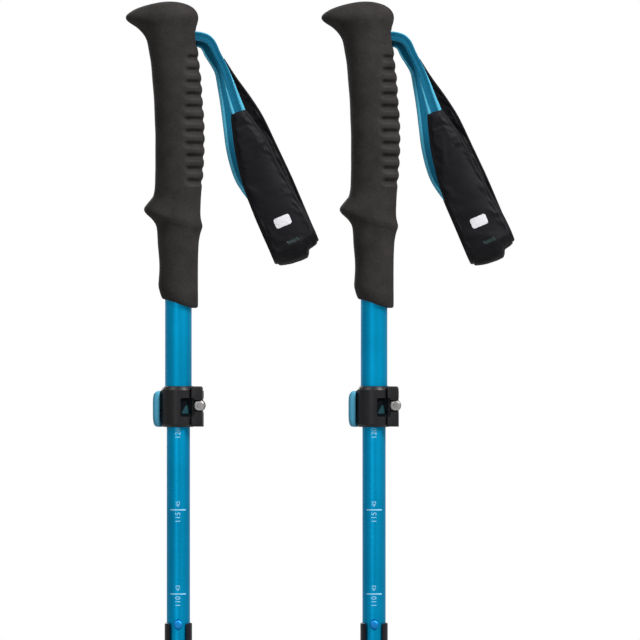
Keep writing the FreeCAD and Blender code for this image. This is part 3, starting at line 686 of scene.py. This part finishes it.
def ferrule(side, shift):
    """Sleeve between the middle and the lower section."""
    low, high = span("middle_sleeve")
    radius, bore, seat = 7.8, 6.12, MIDDLE_R + 0.01
    seat_bottom = 420.0
    turned_piece(side, shift, side + "_middle", "middle_sleeve", "joint_plastic", [
        (bore, low + 1.2, 0.2), (6.6, low, 0.2), (radius, low, 0.7),
        *groove(radius, low + 20, 0.3, 0.5, 2.5, 0.2),
        (radius, high - 3, 1.2), (MIDDLE_R + 0.5, high, 0.4), (seat, high), (seat, seat_bottom),
        (bore, seat_bottom)], "ferrule")


def tip(side, shift):
    """Ribbed flexible tip with its hard point."""
    body_r, neck_r, point_r, ribs_bottom, rib_pitch = 7.2, 4.6, 3.0, 73.5, 4.2
    neck_bottom, neck_top, cone_top, socket, top = 12.0, 30.0, 58.0, 62.0, 96.0
    ribs = []
    for number in range(6):
        ribs += groove(body_r, ribs_bottom + number * rib_pitch, 0.35, 0.5, 0.8, 0.15)
    turned_piece(side, shift, side + "_lower", "tip_body", "tip_plastic", [
        (0, neck_top), (point_r, neck_top), (point_r, neck_bottom, 0.1),
        (neck_r, neck_bottom, 0.6), (neck_r, neck_top, 2.0), (body_r, cone_top, 3.0), *ribs,
        (body_r, top, 1.0), (LOWER_R, top, 0.2), (LOWER_R, socket), (0, socket)], "flex_tip")
    turned_piece(side, shift, side + "_lower", "carbide_tip", "carbide", [
        (0, 0.6), (0.9, 0.35, 0.2), (1.6, 0.0, 0.1), (point_r, 8.0, 1.0), (point_r, neck_top),
        (0, neck_top)], "hard_point")


def basket(side, shift):
    """Dished basket with six windows, on a hub with ridges for the fingers."""
    low, high = span("basket")
    bore, hub, windows, window_circle, ridges = 7.22, 9.6, 6, 16, 18
    thing = lathe(side + "_basket_dish", rounded([
        (bore, low, 0.2), (20.5, low, 2.2), (24.0, low + 3.5, 0.8), (22.0, low + 3.5, 0.6),
        (19.5, low + 2.0, 1.0), (hub, low + 2.0, 0.9), (hub, high, 0.7), (bore, high, 0.3)]), shift)
    for number in range(windows):
        angle = math.tau * number / windows
        base = (shift + window_circle * math.cos(angle), window_circle * math.sin(angle), low - 1)
        combine(thing, peg("window_tool", base, UP, [
            (0, 0), (5.2, 0), (4.6, 1.5), (4.6, 2.5), (5.1, 3.2), (5.1, 6), (0, 6)]))
    for number in range(ridges):
        turn = Matrix.Rotation(math.tau * (number + 0.5) / ridges, 3, "Z")
        combine(thing, solid_box("ridge", (9.2, -0.45, low + 3.5), (10.0, 0.45, high - 1.0), shift,
                                 0.2, 2, turn), "UNION")
    finish_piece(thing, side + "_lower", "tip_plastic", [side + "_basket"])


# --- lever clamp ----------------------------------------------------------------------------------

RECESS_LOW, RECESS_HIGH, RECESS_FLOOR = (1.6, -13.0, 950.4), (9.9, -6.3, 961.6), 8.6
WINDOW_X, WINDOW_Z, WINDOW_R = 5.2, 954.2, 3.9


def window_outline():
    """The small triangle in the collar, as (x, z) with one corner up."""
    corners = []
    for degrees in (90, 210, 330):
        angle = math.radians(degrees)
        corners.append((WINDOW_X + WINDOW_R * math.cos(angle),
                        WINDOW_Z + WINDOW_R * math.sin(angle), 0.7))
    return rounded(corners, 5)


def clamp_collar(side, shift):
    """Split collar with two ears, a recess in front whose near-black floor is painted shade, and a
    window with a dark teal sheet behind it, which is painted shade over the shaft.
    """
    bottom, top = span("clamp_collar")
    narrow, wide, outside, step = INNER_R + 0.25, UPPER_R + 0.03, 10.4, 945.97
    ring = lathe(side + "_clamp_band", rounded([
        (narrow, bottom, 0.2), (outside - 1.2, bottom, 0.9), (outside, bottom + 1.7, 1.2),
        (outside, top - 2.3, 1.3), (outside - 1.4, top, 0.8), (wide, top, 0.2), (wide, step),
        (narrow, step)], 5), shift)
    ears = solid_box("ears", (7.6, -8.9, 944.4), (14.7, 3.4, 968.5), shift, 1.2, 4)
    combine(ring, ears, "UNION")
    combine(ring, rod("bore_tool", (shift, 0, step), UP, wide, 30, ROUND))
    split = solid_box("split_tool", (6.0, -0.7, 940.0), (16.0, 0.7, 972.0), shift, 0.15, 1)
    combine(ring, split)
    room = solid_box("room_tool", (9.4, -12.0, 953.4), (17.0, -6.3, 960.4), shift, 0.9)
    combine(ring, room)
    recess = solid_box("recess_tool", RECESS_LOW, RECESS_HIGH, shift, 1.2, 4)
    combine(recess, rod("recess_core", (shift, 0, 945.0), UP, RECESS_FLOOR, 25, ROUND))
    combine(ring, recess)
    outline = window_outline()
    rings = [[(WINDOW_X + (x - WINDOW_X) * grow, y, WINDOW_Z + (z - WINDOW_Z) * grow)
              for x, z in outline]
             for y, grow in ((-12.0, 1.3), (-8.2, 1.1), (-7.7, 1.0), (-5.0, 1.0))]
    combine(ring, skinned("window_tool", rings, shift))
    # A thin dark teal sheet fills the window: painted shade in place of the shaft lying in shadow.
    shade_pane_r, shade_pane_height = UPPER_R + 0.04, 11.5
    pane = peg(side + "_window_shade_pane", (shift, 0, 949.0), UP, [
        (shade_pane_r, 0), (8.3, 0), (8.3, shade_pane_height), (shade_pane_r, shade_pane_height)], 2 * ROUND)
    rings = [[(x, y, z) for x, z in outline] for y in (-12.0, -3.0)]
    combine(pane, skinned("shade_pane_tool", rings, shift), "INTERSECT")
    finish_piece(pane, side + "_grip_body", "clamp_plastic", look="pane")
    combine(ring, rod("hole_tool", (shift + SCREW_X, -12, SCREW_Z), BACKWARD, 1.75, 20))
    finish_piece(ring, side + "_grip_body", "clamp_plastic", [side + "_clamp_collar"])
    # The recess's floor and walls take the near-black look: painted shade in the hollow.
    ring.data.materials.append(LOOKS["recess"])
    for face in ring.data.polygons:
        x, y, z = (value / MM for value in face.center)
        if (RECESS_LOW[0] <= x - shift <= 9.5 and y < -3 and RECESS_LOW[2] <= z <= RECESS_HIGH[2]
                and 8.2 < math.hypot(x - shift, y) < 10.2):
            face.material_index = 1


LEVER_INSIDE, LEVER_OUTSIDE, LEVER_END = 11.0, 15.4, 196.0


def lever_section(inside, outside, low, high, square_low, square_high):
    """Flat inside and crowned outside; a lower power rounds its corners more."""
    middle, half, steps = (low + high) / 2, (high - low) / 2, 32
    points = []
    for step in range(steps + 1):
        share = -math.cos(math.pi * step / steps)
        power = square_low if share < 0 else square_high
        crown = max(1 - abs(share) ** power, 0.0) ** (1 / power)
        points.append((inside + (outside - inside) * crown, middle + half * share))
    return points + [(inside, middle + half * k / 4) for k in (3, 2, 1, 0, -1, -2, -3)]


def lever_arc(name, shift, start, end, low, high):
    """Part of the lever's arm, from one angle to another about the pole's axis."""
    nose_length, paddle_length, steps = 2.4, 16.0, 60
    thick = LEVER_OUTSIDE - LEVER_INSIDE
    rings = []
    for step in range(steps + 1):
        angle = start + (end - start) * step / steps
        run = math.radians(LEVER_END - angle) * LEVER_OUTSIDE
        nose = 1 - math.sqrt(1 - (1 - min(run / nose_length, 1.0)) ** 2)
        paddle = ease(0.0, paddle_length, run)
        section = lever_section(
            LEVER_INSIDE + 0.2 * thick * nose, LEVER_OUTSIDE - 0.45 * thick * nose,
            low + 1.3 * nose, high - 1.3 * nose, 3.0 + 6.0 * paddle, 3.6 + 5.4 * paddle)
        turn = math.radians(angle)
        rings.append([(r * math.cos(turn), r * math.sin(turn), z) for r, z in section])
    return skinned(name, rings, shift, 50)


def clamp_lever(side, shift):
    """Blue arm round the back of the collar, on a dark knuckle that turns on the pin."""
    low, high = span("clamp_lever")
    pivot_x, pivot_y, height, past = shift + SCREW_X, 8.6, high - low, 2
    arm = lever_arc(side + "_lever_arm", shift, 66.0, LEVER_END, low, high)
    finish_piece(arm, side + "_lever", "lever_plastic", [side + "_clamp_lever"])
    knuckle = lever_arc(side + "_lever_knuckle", shift, 40.0, 66.5, low, high)
    lobe = peg("lobe", (pivot_x, pivot_y, low), UP,
               rounded([(0, 0), (4.1, 0, 0.8), (4.1, height, 0.8), (0, height)]), 64)
    combine(knuckle, lobe, "UNION")
    combine(knuckle, rod("gap_tool", (pivot_x, pivot_y, 952.7), UP, 4.4, 8.4, 64))
    combine(knuckle, rod("pin_tool", (pivot_x, pivot_y, low - past), UP, 2.05, height + 2 * past))
    flat = solid_box("flat_tool", (15.0, 2.0, low - past), (20.0, 15.0, high + past), shift, 0.3, 1)
    combine(knuckle, flat)
    finish_piece(knuckle, side + "_lever", "joint_plastic", [side + "_clamp_lever"])


def clamp_screw(side, shift):
    """Socket screw, whose thread is drawn as rings."""
    shank, thread_start, pitch, thread_end, end = 1.6, 4.6, 0.78, 17.4, 17.9
    thread = []
    for number in range(14):
        thread += groove(shank, thread_start + number * pitch, 0.22, 0.3, 0.12)
    profile = [(0, 0), (2.6, 0), (3.15, 0.5), (3.15, 2.1), (2.95, 2.4), (shank, 2.4), (shank, 4.2)]
    profile += [point for point in thread if point[1] < thread_end]
    profile += [(shank, end - 0.4), (shank - 0.3, end), (0, end)]
    middle = shift + SCREW_X
    screw = peg(side + "_socket_screw", (middle, -8.7, SCREW_Z), BACKWARD, profile, 60)
    socket = [(x, z) for ((x, z, _),) in turned([(1.62, 0)], 6)]
    rings = [[(middle + x, y, SCREW_Z + z) for x, z in socket] for y in (-9.5, -7.2)]
    combine(screw, skinned("hexagon_tool", rings))
    finish_piece(screw, side + "_screw", "steel", [side + "_clamp_screw"])


# --- marks on the inner tube ----------------------------------------------------------------------

MARKS = ((125, 49, 995.4), (120, 47, 944.9), (115, 45, 894.4), (110, 43, 843.9))


def number_mesh(text, size, centre, turn):
    """Flat outline mesh of a number: points (x, z) about a centre, in millimetres, and faces."""
    curve = bpy.data.curves.new("number", "FONT")
    curve.body = text
    curve.size = size
    curve.align_x = "CENTER"
    curve.align_y = "CENTER"
    holder = linked("number", curve)
    bpy.context.view_layer.update()
    mesh = bpy.data.meshes.new_from_object(holder.evaluated_get(
        bpy.context.evaluated_depsgraph_get()))
    cosine, sine = math.cos(turn), math.sin(turn)
    work = bmesh.new()
    work.from_mesh(mesh)
    strip, most_strips = 0.4, 8
    for step in range(-most_strips, most_strips + 1):
        everything = list(work.verts) + list(work.edges) + list(work.faces)
        bmesh.ops.bisect_plane(work, geom=everything, dist=1e-6, plane_no=(cosine, -sine, 0),
                               plane_co=(cosine * step * strip, -sine * step * strip, 0))
    work.verts.index_update()
    points = [(centre[0] + v.co.x * cosine - v.co.y * sine,
               centre[1] + v.co.x * sine + v.co.y * cosine) for v in work.verts]
    faces = [tuple(v.index for v in face.verts) for face in work.faces]
    work.free()
    bpy.data.objects.remove(holder)
    bpy.data.curves.remove(curve)
    bpy.data.meshes.remove(mesh)
    return points, faces


def length_marks(side, shift):
    """A tick and two numbers for each 5 cm of the pole's length, in centimetres and in inches."""
    points, faces = [], []

    def add(new_points, new_faces):
        start = len(points)
        points.extend(new_points)
        faces.extend(tuple(start + v for v in face) for face in new_faces)

    steps, half_length, half_height = 20, 5.0, 0.36
    columns = [half_length * (2 * step / steps - 1) for step in range(steps + 1)]
    quads = [(k, k + 1, k + steps + 2, k + steps + 1) for k in range(steps)]
    for length, inches, height in MARKS:
        add([(x, height + dz) for dz in (-half_height, half_height) for x in columns], quads)
        add(*number_mesh(str(length), 4.4, (0.0, height - 4.6), math.pi / 2))
        add(*number_mesh(str(inches), 3.6, (0.0, height + 3.6), math.pi / 2))
    radius = INNER_R + 0.05
    wrapped = [(radius * math.sin(x / radius), -radius * math.cos(x / radius), z)
               for x, z in points]
    thing = new_object(side + "_length_marks", wrapped, faces, shift)
    thicken(thing, 0.07)
    finish_piece(thing, side + "_inner", "shaft_inner", look="ink")


# --- wrist strap ----------------------------------------------------------------------------------

# Rows of (down, across, y, width, thickness) on the strap's own axes.
PAD_FRONT = [
    (36.2, 0.1, -9.3, 9.0, 2.3), (37.2, 0.1, -9.4, 10.4, 3.5), (46.0, -0.2, -9.4, 15.4, 4.0),
    (58.0, -0.7, -9.5, 20.8, 4.1), (77.0, -1.8, -9.5, 25.2, 4.1), (95.0, -1.4, -9.5, 28.0, 4.1),
    (108.0, -0.6, -9.4, 29.6, 4.1), (118.0, -0.2, -9.4, 30.0, 4.0),
]
PAD_BACK = [
    (118.0, -0.2, 8.2, 30.0, 4.0), (104.0, -0.2, 8.3, 30.0, 4.1), (84.0, -0.2, 8.3, 29.9, 4.1),
    (63.0, 0.1, 8.2, 27.8, 4.0), (44.0, 1.2, 8.0, 24.0, 4.0), (31.0, 1.7, 7.6, 18.8, 3.8),
    (16.0, 1.6, 6.4, 12.0, 3.4), (6.0, 1.5, 5.0, 8.6, 2.8), (2.4, 1.4, 4.4, 7.6, 1.8),
]
PAD_SIDES = 40                  # points across one face of the pad
PAD_WIDTH, PAD_THICKNESS = 30.0, 4.0
FOLD_START, FOLD_REACH, FOLD_DEPTH = 119.5, 9.4, 8.8
STUFFING_FRAMES = 20


def on_strap(down, across, y):
    """A point on the hanging strap's own axes, from its bend."""
    place = BEND + DOWN * down + ACROSS * across
    return place.x, y, place.z


def band(name, shift, rows, section, side_axis=None):
    """Sweep a section along rows of (x, y, z, width, thickness, twist in degrees)."""
    data = spline(rows, 1.2, 3)
    tangents = np.gradient(np.array([row[:3] for row in data]), axis=0)
    run, last = 0.0, data[0][:3]
    rings, places = [], []
    for row, tangent in zip(data, tangents):
        run += float(np.linalg.norm(row[:3] - last))
        last = row[:3]
        forward = Vector(tangent).normalized()
        across = Vector(side_axis or forward.cross(Vector(BACKWARD)))
        across = (across - forward * across.dot(forward)).normalized()
        outward = forward.cross(across)
        turn = Quaternion(forward, math.radians(row[5]))
        across.rotate(turn)
        outward.rotate(turn)
        outline = section(row[3], row[4])
        rings.append([Vector(row[:3]) + across * u + outward * v for u, v in outline])
        places += [(u, run) for u, _ in outline]
    thing = skinned(name, rings, shift, 70)
    layer = thing.data.uv_layers.new(name="band")
    for loop in thing.data.loops:
        layer.data[loop.index].uv = places[loop.vertex_index]
    return thing


def webbing_section(width, thickness):
    """Flat band with round edges and a faint hollow down the middle."""
    steps = 14
    half, radius = width / 2, thickness * 0.46
    top = []
    for step in range(steps + 1):
        share = -1 + 2 * step / steps
        hollow = 0.12 * thickness * math.exp(-(share / 0.45) ** 2)
        top.append(((half - radius) * share, thickness / 2 - hollow))
    right = [(half - radius + radius * math.cos(angle), thickness / 2 * math.sin(angle))
             for angle in map(math.radians, (60, 30, 0, -30, -60))]
    return top + right + [(-u, -v) for u, v in top + right]


def pad_section(width, thickness):
    """Crowned padding with a sewn channel inside each edge and a rolled binding outside it."""
    half = width / 2
    seam = half - 1.7

    def height(u):
        crown = max(1 - (abs(u) / half) ** 6, 0.0) ** 0.5
        channel = 0.13 * thickness * math.exp(-((abs(u) - seam) / 0.45) ** 2)
        return max(thickness / 2 * (0.6 * crown + 0.4 * (1 - (u / half) ** 2)) - channel
                   * min(half / 6, 1.0), 0.12)

    top, under = [], []
    for step in range(PAD_SIDES + 1):
        u = half * math.sin(math.pi / 2 * (-1 + 2 * step / PAD_SIDES))
        bow = 2.2 * min(width / 26, 1.0) * (0.5 - (u / half) ** 2)
        top.append((u, bow + height(u)))
        under.append((u, bow - height(u)))
    return top + under[-2:0:-1]


def strap_bands(side, shift):
    """Front strand, back strand and adjusting tail, each bending from the grip to the strap."""
    outer = [(3.0, 1178.9, 5.6), (8.0, 1179.1, 5.6), (12.0, 1179.0, 5.6), (16.7, 1177.8, 5.5),
             (19.7, 1175.3, 5.2), (21.5, 1172.2, 4.9), (23.0, 1168.8, 4.7)]
    front = [(x, -2.35 - 0.05 * max(x - 16, 0), z, width, 1.5, 0) for x, z, width in outer]
    front += [(*on_strap(down, across, y), width, 1.5, twist) for down, across, y, width, twist in (
        (5, 2.5, -3.1, 4.7, 3), (12, 2.5, -4.6, 5.1, 5), (20, 1.8, -6.4, 6.3, 4),
        (28, 1.0, -8.0, 7.5, 2))]
    front += [(*on_strap(36, 0.4, -9.3), 8.4, 1.45, 0), (*on_strap(41, 0.1, -9.4), 7.8, 1.3, 0)]
    neck = [(3.0, 1177.5), (8.0, 1177.6), (12.0, 1177.5), (16.2, 1176.2), (18.5, 1174.1),
            (20.0, 1171.3), (21.2, 1168.2)]
    back = [(x, 2.3 + 0.02 * max(x - 16, 0), z, 8.4, 1.5, 0) for x, z in neck]
    back += [(*on_strap(4, 0.8, 3.5), 7.4, 1.4, 0), (*on_strap(10, 1.3, 5.0), 7.0, 1.2, 0)]
    inner = [(8.5, 1175.6, 6.2), (12.5, 1175.5, 6.2), (15.6, 1174.0, 6.3), (17.4, 1171.6, 6.5),
             (18.9, 1168.6, 6.8)]
    tail = [(x, 0.0, z, width, 1.2, 0) for x, z, width in inner]
    tail += [(*on_strap(2.5, -0.5, 0.4), 7.4, 1.4, -3), (*on_strap(9, 0.3, 0.8), 8.3, 1.4, -10)]
    tail += [(*on_strap(down, across, y), 8.5, 1.4, twist) for down, across, y, twist in (
        (18, -1.6, 1.5, -16), (30, -4.6, 2.6, -18), (42, -8.0, 3.5, -15), (53, -11.0, 4.2, -8),
        (63, -12.8, 4.8, -3), (72, -13.4, 5.1, 0), (80, -12.2, 5.2, 0))]
    tail.append((*on_strap(90, -9.8, 5.3), 8.3, 1.3, 0))
    for name, rows, nodes in (("front_webbing", front, ["strap_webbing", "strap_neck"]),
                              ("back_webbing", back, ["strap_neck"]),
                              ("tail_webbing", tail, ["strap_tail"])):
        thing = band(side + "_" + name, shift, rows, webbing_section)
        finish_piece(thing, None, "webbing", [side + "_" + node for node in nodes])
        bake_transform(thing)


def sewn_points(thing, count, seam):
    """Points of the pad that stitches or webbing hold: its edges outside the seams and its ends."""
    held, end_rings = [], 4
    vertices = thing.data.vertices
    rings = len(vertices) // count
    for ring in range(rings):
        left, right = vertices[ring * count].co, vertices[ring * count + count // 2].co
        middle, half = (left + right) / 2, (right - left).length / 2
        side_way = (right - left).normalized()
        for spot in range(ring * count, (ring + 1) * count):
            outward = abs((vertices[spot].co - middle).dot(side_way))
            if outward > half - seam * MM or ring < end_rings or ring >= rings - end_rings:
                held.append(spot)
    return held


def stuff(thing, held, pressure, growth, most):
    """Fill a closed pad by cloth simulation, holding the sewn points; none moves past the most."""
    group = thing.vertex_groups.new(name="sewn")
    group.add(held, 1.0, "REPLACE")
    change = thing.modifiers.new("stuffing", "CLOTH")
    change.settings.vertex_group_mass = "sewn"
    change.settings.quality = 6
    change.settings.bending_stiffness = 0.05
    change.settings.use_pressure = True
    change.settings.uniform_pressure_force = pressure
    change.settings.shrink_min = -growth
    change.settings.effector_weights.gravity = 0.0
    change.collision_settings.use_collision = False
    change.point_cache.frame_end = STUFFING_FRAMES
    for number in range(1, STUFFING_FRAMES + 1):
        bpy.context.scene.frame_set(number)
    filled = thing.evaluated_get(bpy.context.evaluated_depsgraph_get()).to_mesh()
    moves = [there.co - here.co for here, there in zip(thing.data.vertices, filled.vertices)]
    thing.modifiers.clear()
    thing.vertex_groups.clear()
    for vertex, move in zip(thing.data.vertices, moves):
        vertex.co += move * min(1.0, most * MM / max(move.length, 1e-9))
    bpy.context.scene.frame_set(1)


def strap_pad(side, shift):
    """Padded sleeve: down in front, folded at the bottom and up behind."""
    rows = [(*on_strap(*place), width, thickness, 0) for *place, width, thickness in PAD_FRONT]
    for angle in map(math.radians, (20, 45, 68, 90, 112, 135, 160)):
        down, y = FOLD_START + FOLD_REACH * math.sin(angle), -0.6 - FOLD_DEPTH * math.cos(angle)
        rows.append((*on_strap(down, -0.2, y), PAD_WIDTH, PAD_THICKNESS, 0))
    rows += [(*on_strap(*place), width, thickness, 0) for *place, width, thickness in PAD_BACK]
    thing = band(side + "_strap_padding", shift, rows, pad_section, ACROSS)
    centre = (BEND + Vector((shift, 0, 0))) * MM
    for vertex in thing.data.vertices:
        place = (vertex.co - centre) / MM
        down, across = place.dot(DOWN), place.dot(ACROSS)
        if down > FOLD_START:
            short = 0.33 * ease(4.5, 7.0, across)
            vertex.co -= DOWN * (down - FOLD_START) * short * MM
    held = sewn_points(thing, 2 * PAD_SIDES, seam=1.9)
    stuff(thing, held, pressure=6.0, growth=0.03, most=0.9)
    finish_piece(thing, side + "_strap", "pad_fabric", [side + "_strap_pad"])
    return thing


def laid_on(pad, name, outlines, thickness, shift):
    """Thin flat pieces laid on the front of the pad; outlines are rows of (x, z) pairs."""
    bpy.context.view_layer.update()
    points, faces = [], []
    for left, right in outlines:
        start = len(points)
        for pair in zip(left, right):
            for x, z in pair:
                _, place, normal, _ = pad.ray_cast(Vector(((x + shift) * MM, -0.1, z * MM)),
                                                   Vector(BACKWARD))
                place = place / MM + normal * thickness / 2
                points.append((place.x - shift, place.y, place.z))
        faces += [(k, k + 1, k + 3, k + 2) for k in range(start, len(points) - 2, 2)]
    thing = new_object(name, points, faces, shift)
    clean(thing)
    thicken(thing, thickness)
    return thing


def badge(side, shift, pad):
    """A small blank label with rounded ends, printed on the pad in line with the strap."""
    centre_down, centre_across, half_height, half_width, bend = 106.5, -0.9, 3.1, 5.0, 1.4
    half_columns, steps = 5, 24
    columns = []
    for column in range(2 * half_columns + 1):
        line = []
        for step in range(steps + 1):
            rise = half_height * -math.cos(math.pi * step / steps)
            over = max(abs(rise) - half_height + bend, 0.0)
            reach = half_width - bend + math.sqrt(max(bend ** 2 - over ** 2, 0.0))
            x, _, z = on_strap(centre_down - rise,
                               centre_across + reach * (column / half_columns - 1), 0)
            line.append((x, z))
        columns.append(line)
    thing = laid_on(pad, side + "_pad_badge", list(zip(columns[:-1], columns[1:])), 0.12, shift)
    finish_piece(thing, side + "_strap", "pad_fabric", look="badge")


def bar_tack(side, shift, pad):
    """Close zigzag stitching that holds the padding's folded end."""
    stitches, pitch, half_length, slant, half_wide = 12, 0.62, 0.9, 0.4, 0.17
    outlines = []
    for number in range(stitches):
        down, across = 119.2 + 0.9 * (number % 2), -3.4 + number * pitch
        x0, _, z0 = on_strap(down - half_length, across, 0)
        x1, _, z1 = on_strap(down + half_length, across + slant, 0)
        outlines.append([[(x0 + (x1 - x0) * k / 4 + wide * 0.9, z0 + (z1 - z0) * k / 4 + wide * 0.4)
                          for k in range(5)] for wide in (-half_wide, half_wide)])
    thing = laid_on(pad, side + "_bar_tack", outlines, 0.3, shift)
    finish_piece(thing, side + "_strap", "pad_fabric", look="thread")


# --- both poles -----------------------------------------------------------------------------------

CAD_LOOKS = {
    "core_plastic": ("grip_core",),
    "steel": ("strap_pin", "clamp_washer", "lever_pin"),
    "joint_plastic": ("shaft_guide", "cord_carriage", "middle_spigot", "lower_spigot"),
    "cord": ("middle_cord", "lower_cord"),
}

for side in ("left", "right"):
    shift = pole_offset(side)
    grip(side, shift)
    tube(side, shift, side + "_grip_body", "upper_shaft", "shaft_blue", UPPER_R)
    clamp_collar(side, shift)
    clamp_lever(side, shift)
    clamp_screw(side, shift)
    tube(side, shift, side + "_inner", "inner_shaft", "shaft_inner", INNER_R, (BUTTON_Z, 2.72))
    length_marks(side, shift)
    joint_sleeve(side, shift)
    push_button(side, shift)
    button_spring(side, shift)
    tube(side, shift, side + "_middle", "middle_shaft", "shaft_blue", MIDDLE_R)
    ferrule(side, shift)
    tube(side, shift, side + "_lower", "lower_shaft", "shaft_blue", LOWER_R)
    tip(side, shift)
    basket(side, shift)
    strap_bands(side, shift)
    pad = strap_pad(side, shift)
    badge(side, shift, pad)
    bar_tack(side, shift, pad)
    for look, nodes in CAD_LOOKS.items():
        for node in nodes:
            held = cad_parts[side + "_" + node]
            held.data.materials.clear()
            held.data.materials.append(LOOKS[look])


# --- floor, light and camera ----------------------------------------------------------------------

AMBIENT, REFLECTED = 0.07, 0.5
VIEW_WIDTH = 0.385              # metres across the picture
VIEW_X, VIEW_Z = 0.0852, 1.0084


def floor():
    """Pale round floor under the tips."""
    radius, low = 1.7, -0.18
    mesh = bpy.data.meshes.new("floor")
    mesh.from_pydata([points[0] for points in turned([(radius, low)], ROUND)], [],
                     [tuple(range(ROUND))])
    thing = linked("floor", mesh)
    paint = Paint("floor_look", Specular_IOR_Level=0.1)
    paint.base(paint.ramp(paint.noise(3.0), (0.3, (0.80, 0.80, 0.79)), (0.7, (0.84, 0.84, 0.83))))
    paint.rough(0.8)
    thing.data.materials.append(paint.material)


def area_light(name, place, size, power, colour=(1, 1, 1)):
    """A soft light that faces the middle of the object."""
    data = bpy.data.lights.new(name, "AREA")
    data.shape = "RECTANGLE"
    data.size, data.size_y = size
    data.energy = power
    data.color = colour
    thing = linked(name, data)
    thing.location = place
    middle = Vector((POLE_SPACING / 2 * MM, 0.0, 1.02))
    thing.rotation_mode = "QUATERNION"
    thing.rotation_quaternion = (middle - Vector(place)).to_track_quat("-Z", "Y")


def surroundings():
    """White behind the object; what lights it is dim, and what its gloss reflects is brighter."""
    world = bpy.data.worlds.new("studio")
    world.use_nodes = True
    bpy.context.scene.world = world
    tree = world.node_tree
    path = tree.nodes.new("ShaderNodeLightPath")
    shown = tree.nodes["Background"]
    shown.inputs["Color"].default_value = (0.86, 0.88, 0.92, 1)
    shown.inputs["Strength"].default_value = AMBIENT
    shader = shown.outputs[0]
    for ray, strength in (("Is Glossy Ray", REFLECTED), ("Is Camera Ray", 1.0)):
        seen = tree.nodes.new("ShaderNodeBackground")
        seen.inputs["Color"].default_value = (1, 1, 1, 1)
        seen.inputs["Strength"].default_value = strength
        pick = tree.nodes.new("ShaderNodeMixShader")
        tree.links.new(path.outputs[ray], pick.inputs[0])
        tree.links.new(shader, pick.inputs[1])
        tree.links.new(seen.outputs[0], pick.inputs[2])
        shader = pick.outputs[0]
    tree.links.new(shader, tree.nodes["World Output"].inputs["Surface"])


def camera():
    """A long lens, level with the middle of the picture."""
    data = bpy.data.cameras.new("camera")
    data.sensor_width = 36.0
    data.lens = 300.0
    data.clip_end = 100.0
    thing = linked("camera", data)
    thing.location = (VIEW_X, -VIEW_WIDTH * data.lens / data.sensor_width, VIEW_Z)
    thing.rotation_euler = (math.pi / 2, 0, 0)
    bpy.context.scene.camera = thing


bpy.context.scene.view_settings.view_transform = "Standard"
floor()
surroundings()
area_light("key", (1.8, -1.4, 3.1), (0.9, 1.2), 150.0, (1.0, 0.98, 0.96))
area_light("top", (-1.2, -1.0, 3.0), (1.0, 1.0), 28.0)
area_light("front", (-0.9, -3.0, 1.3), (0.9, 1.8), 12.0, (0.96, 0.98, 1.0))
area_light("behind", (-0.9, 2.2, 1.9), (1.2, 1.4), 34.0)
camera()
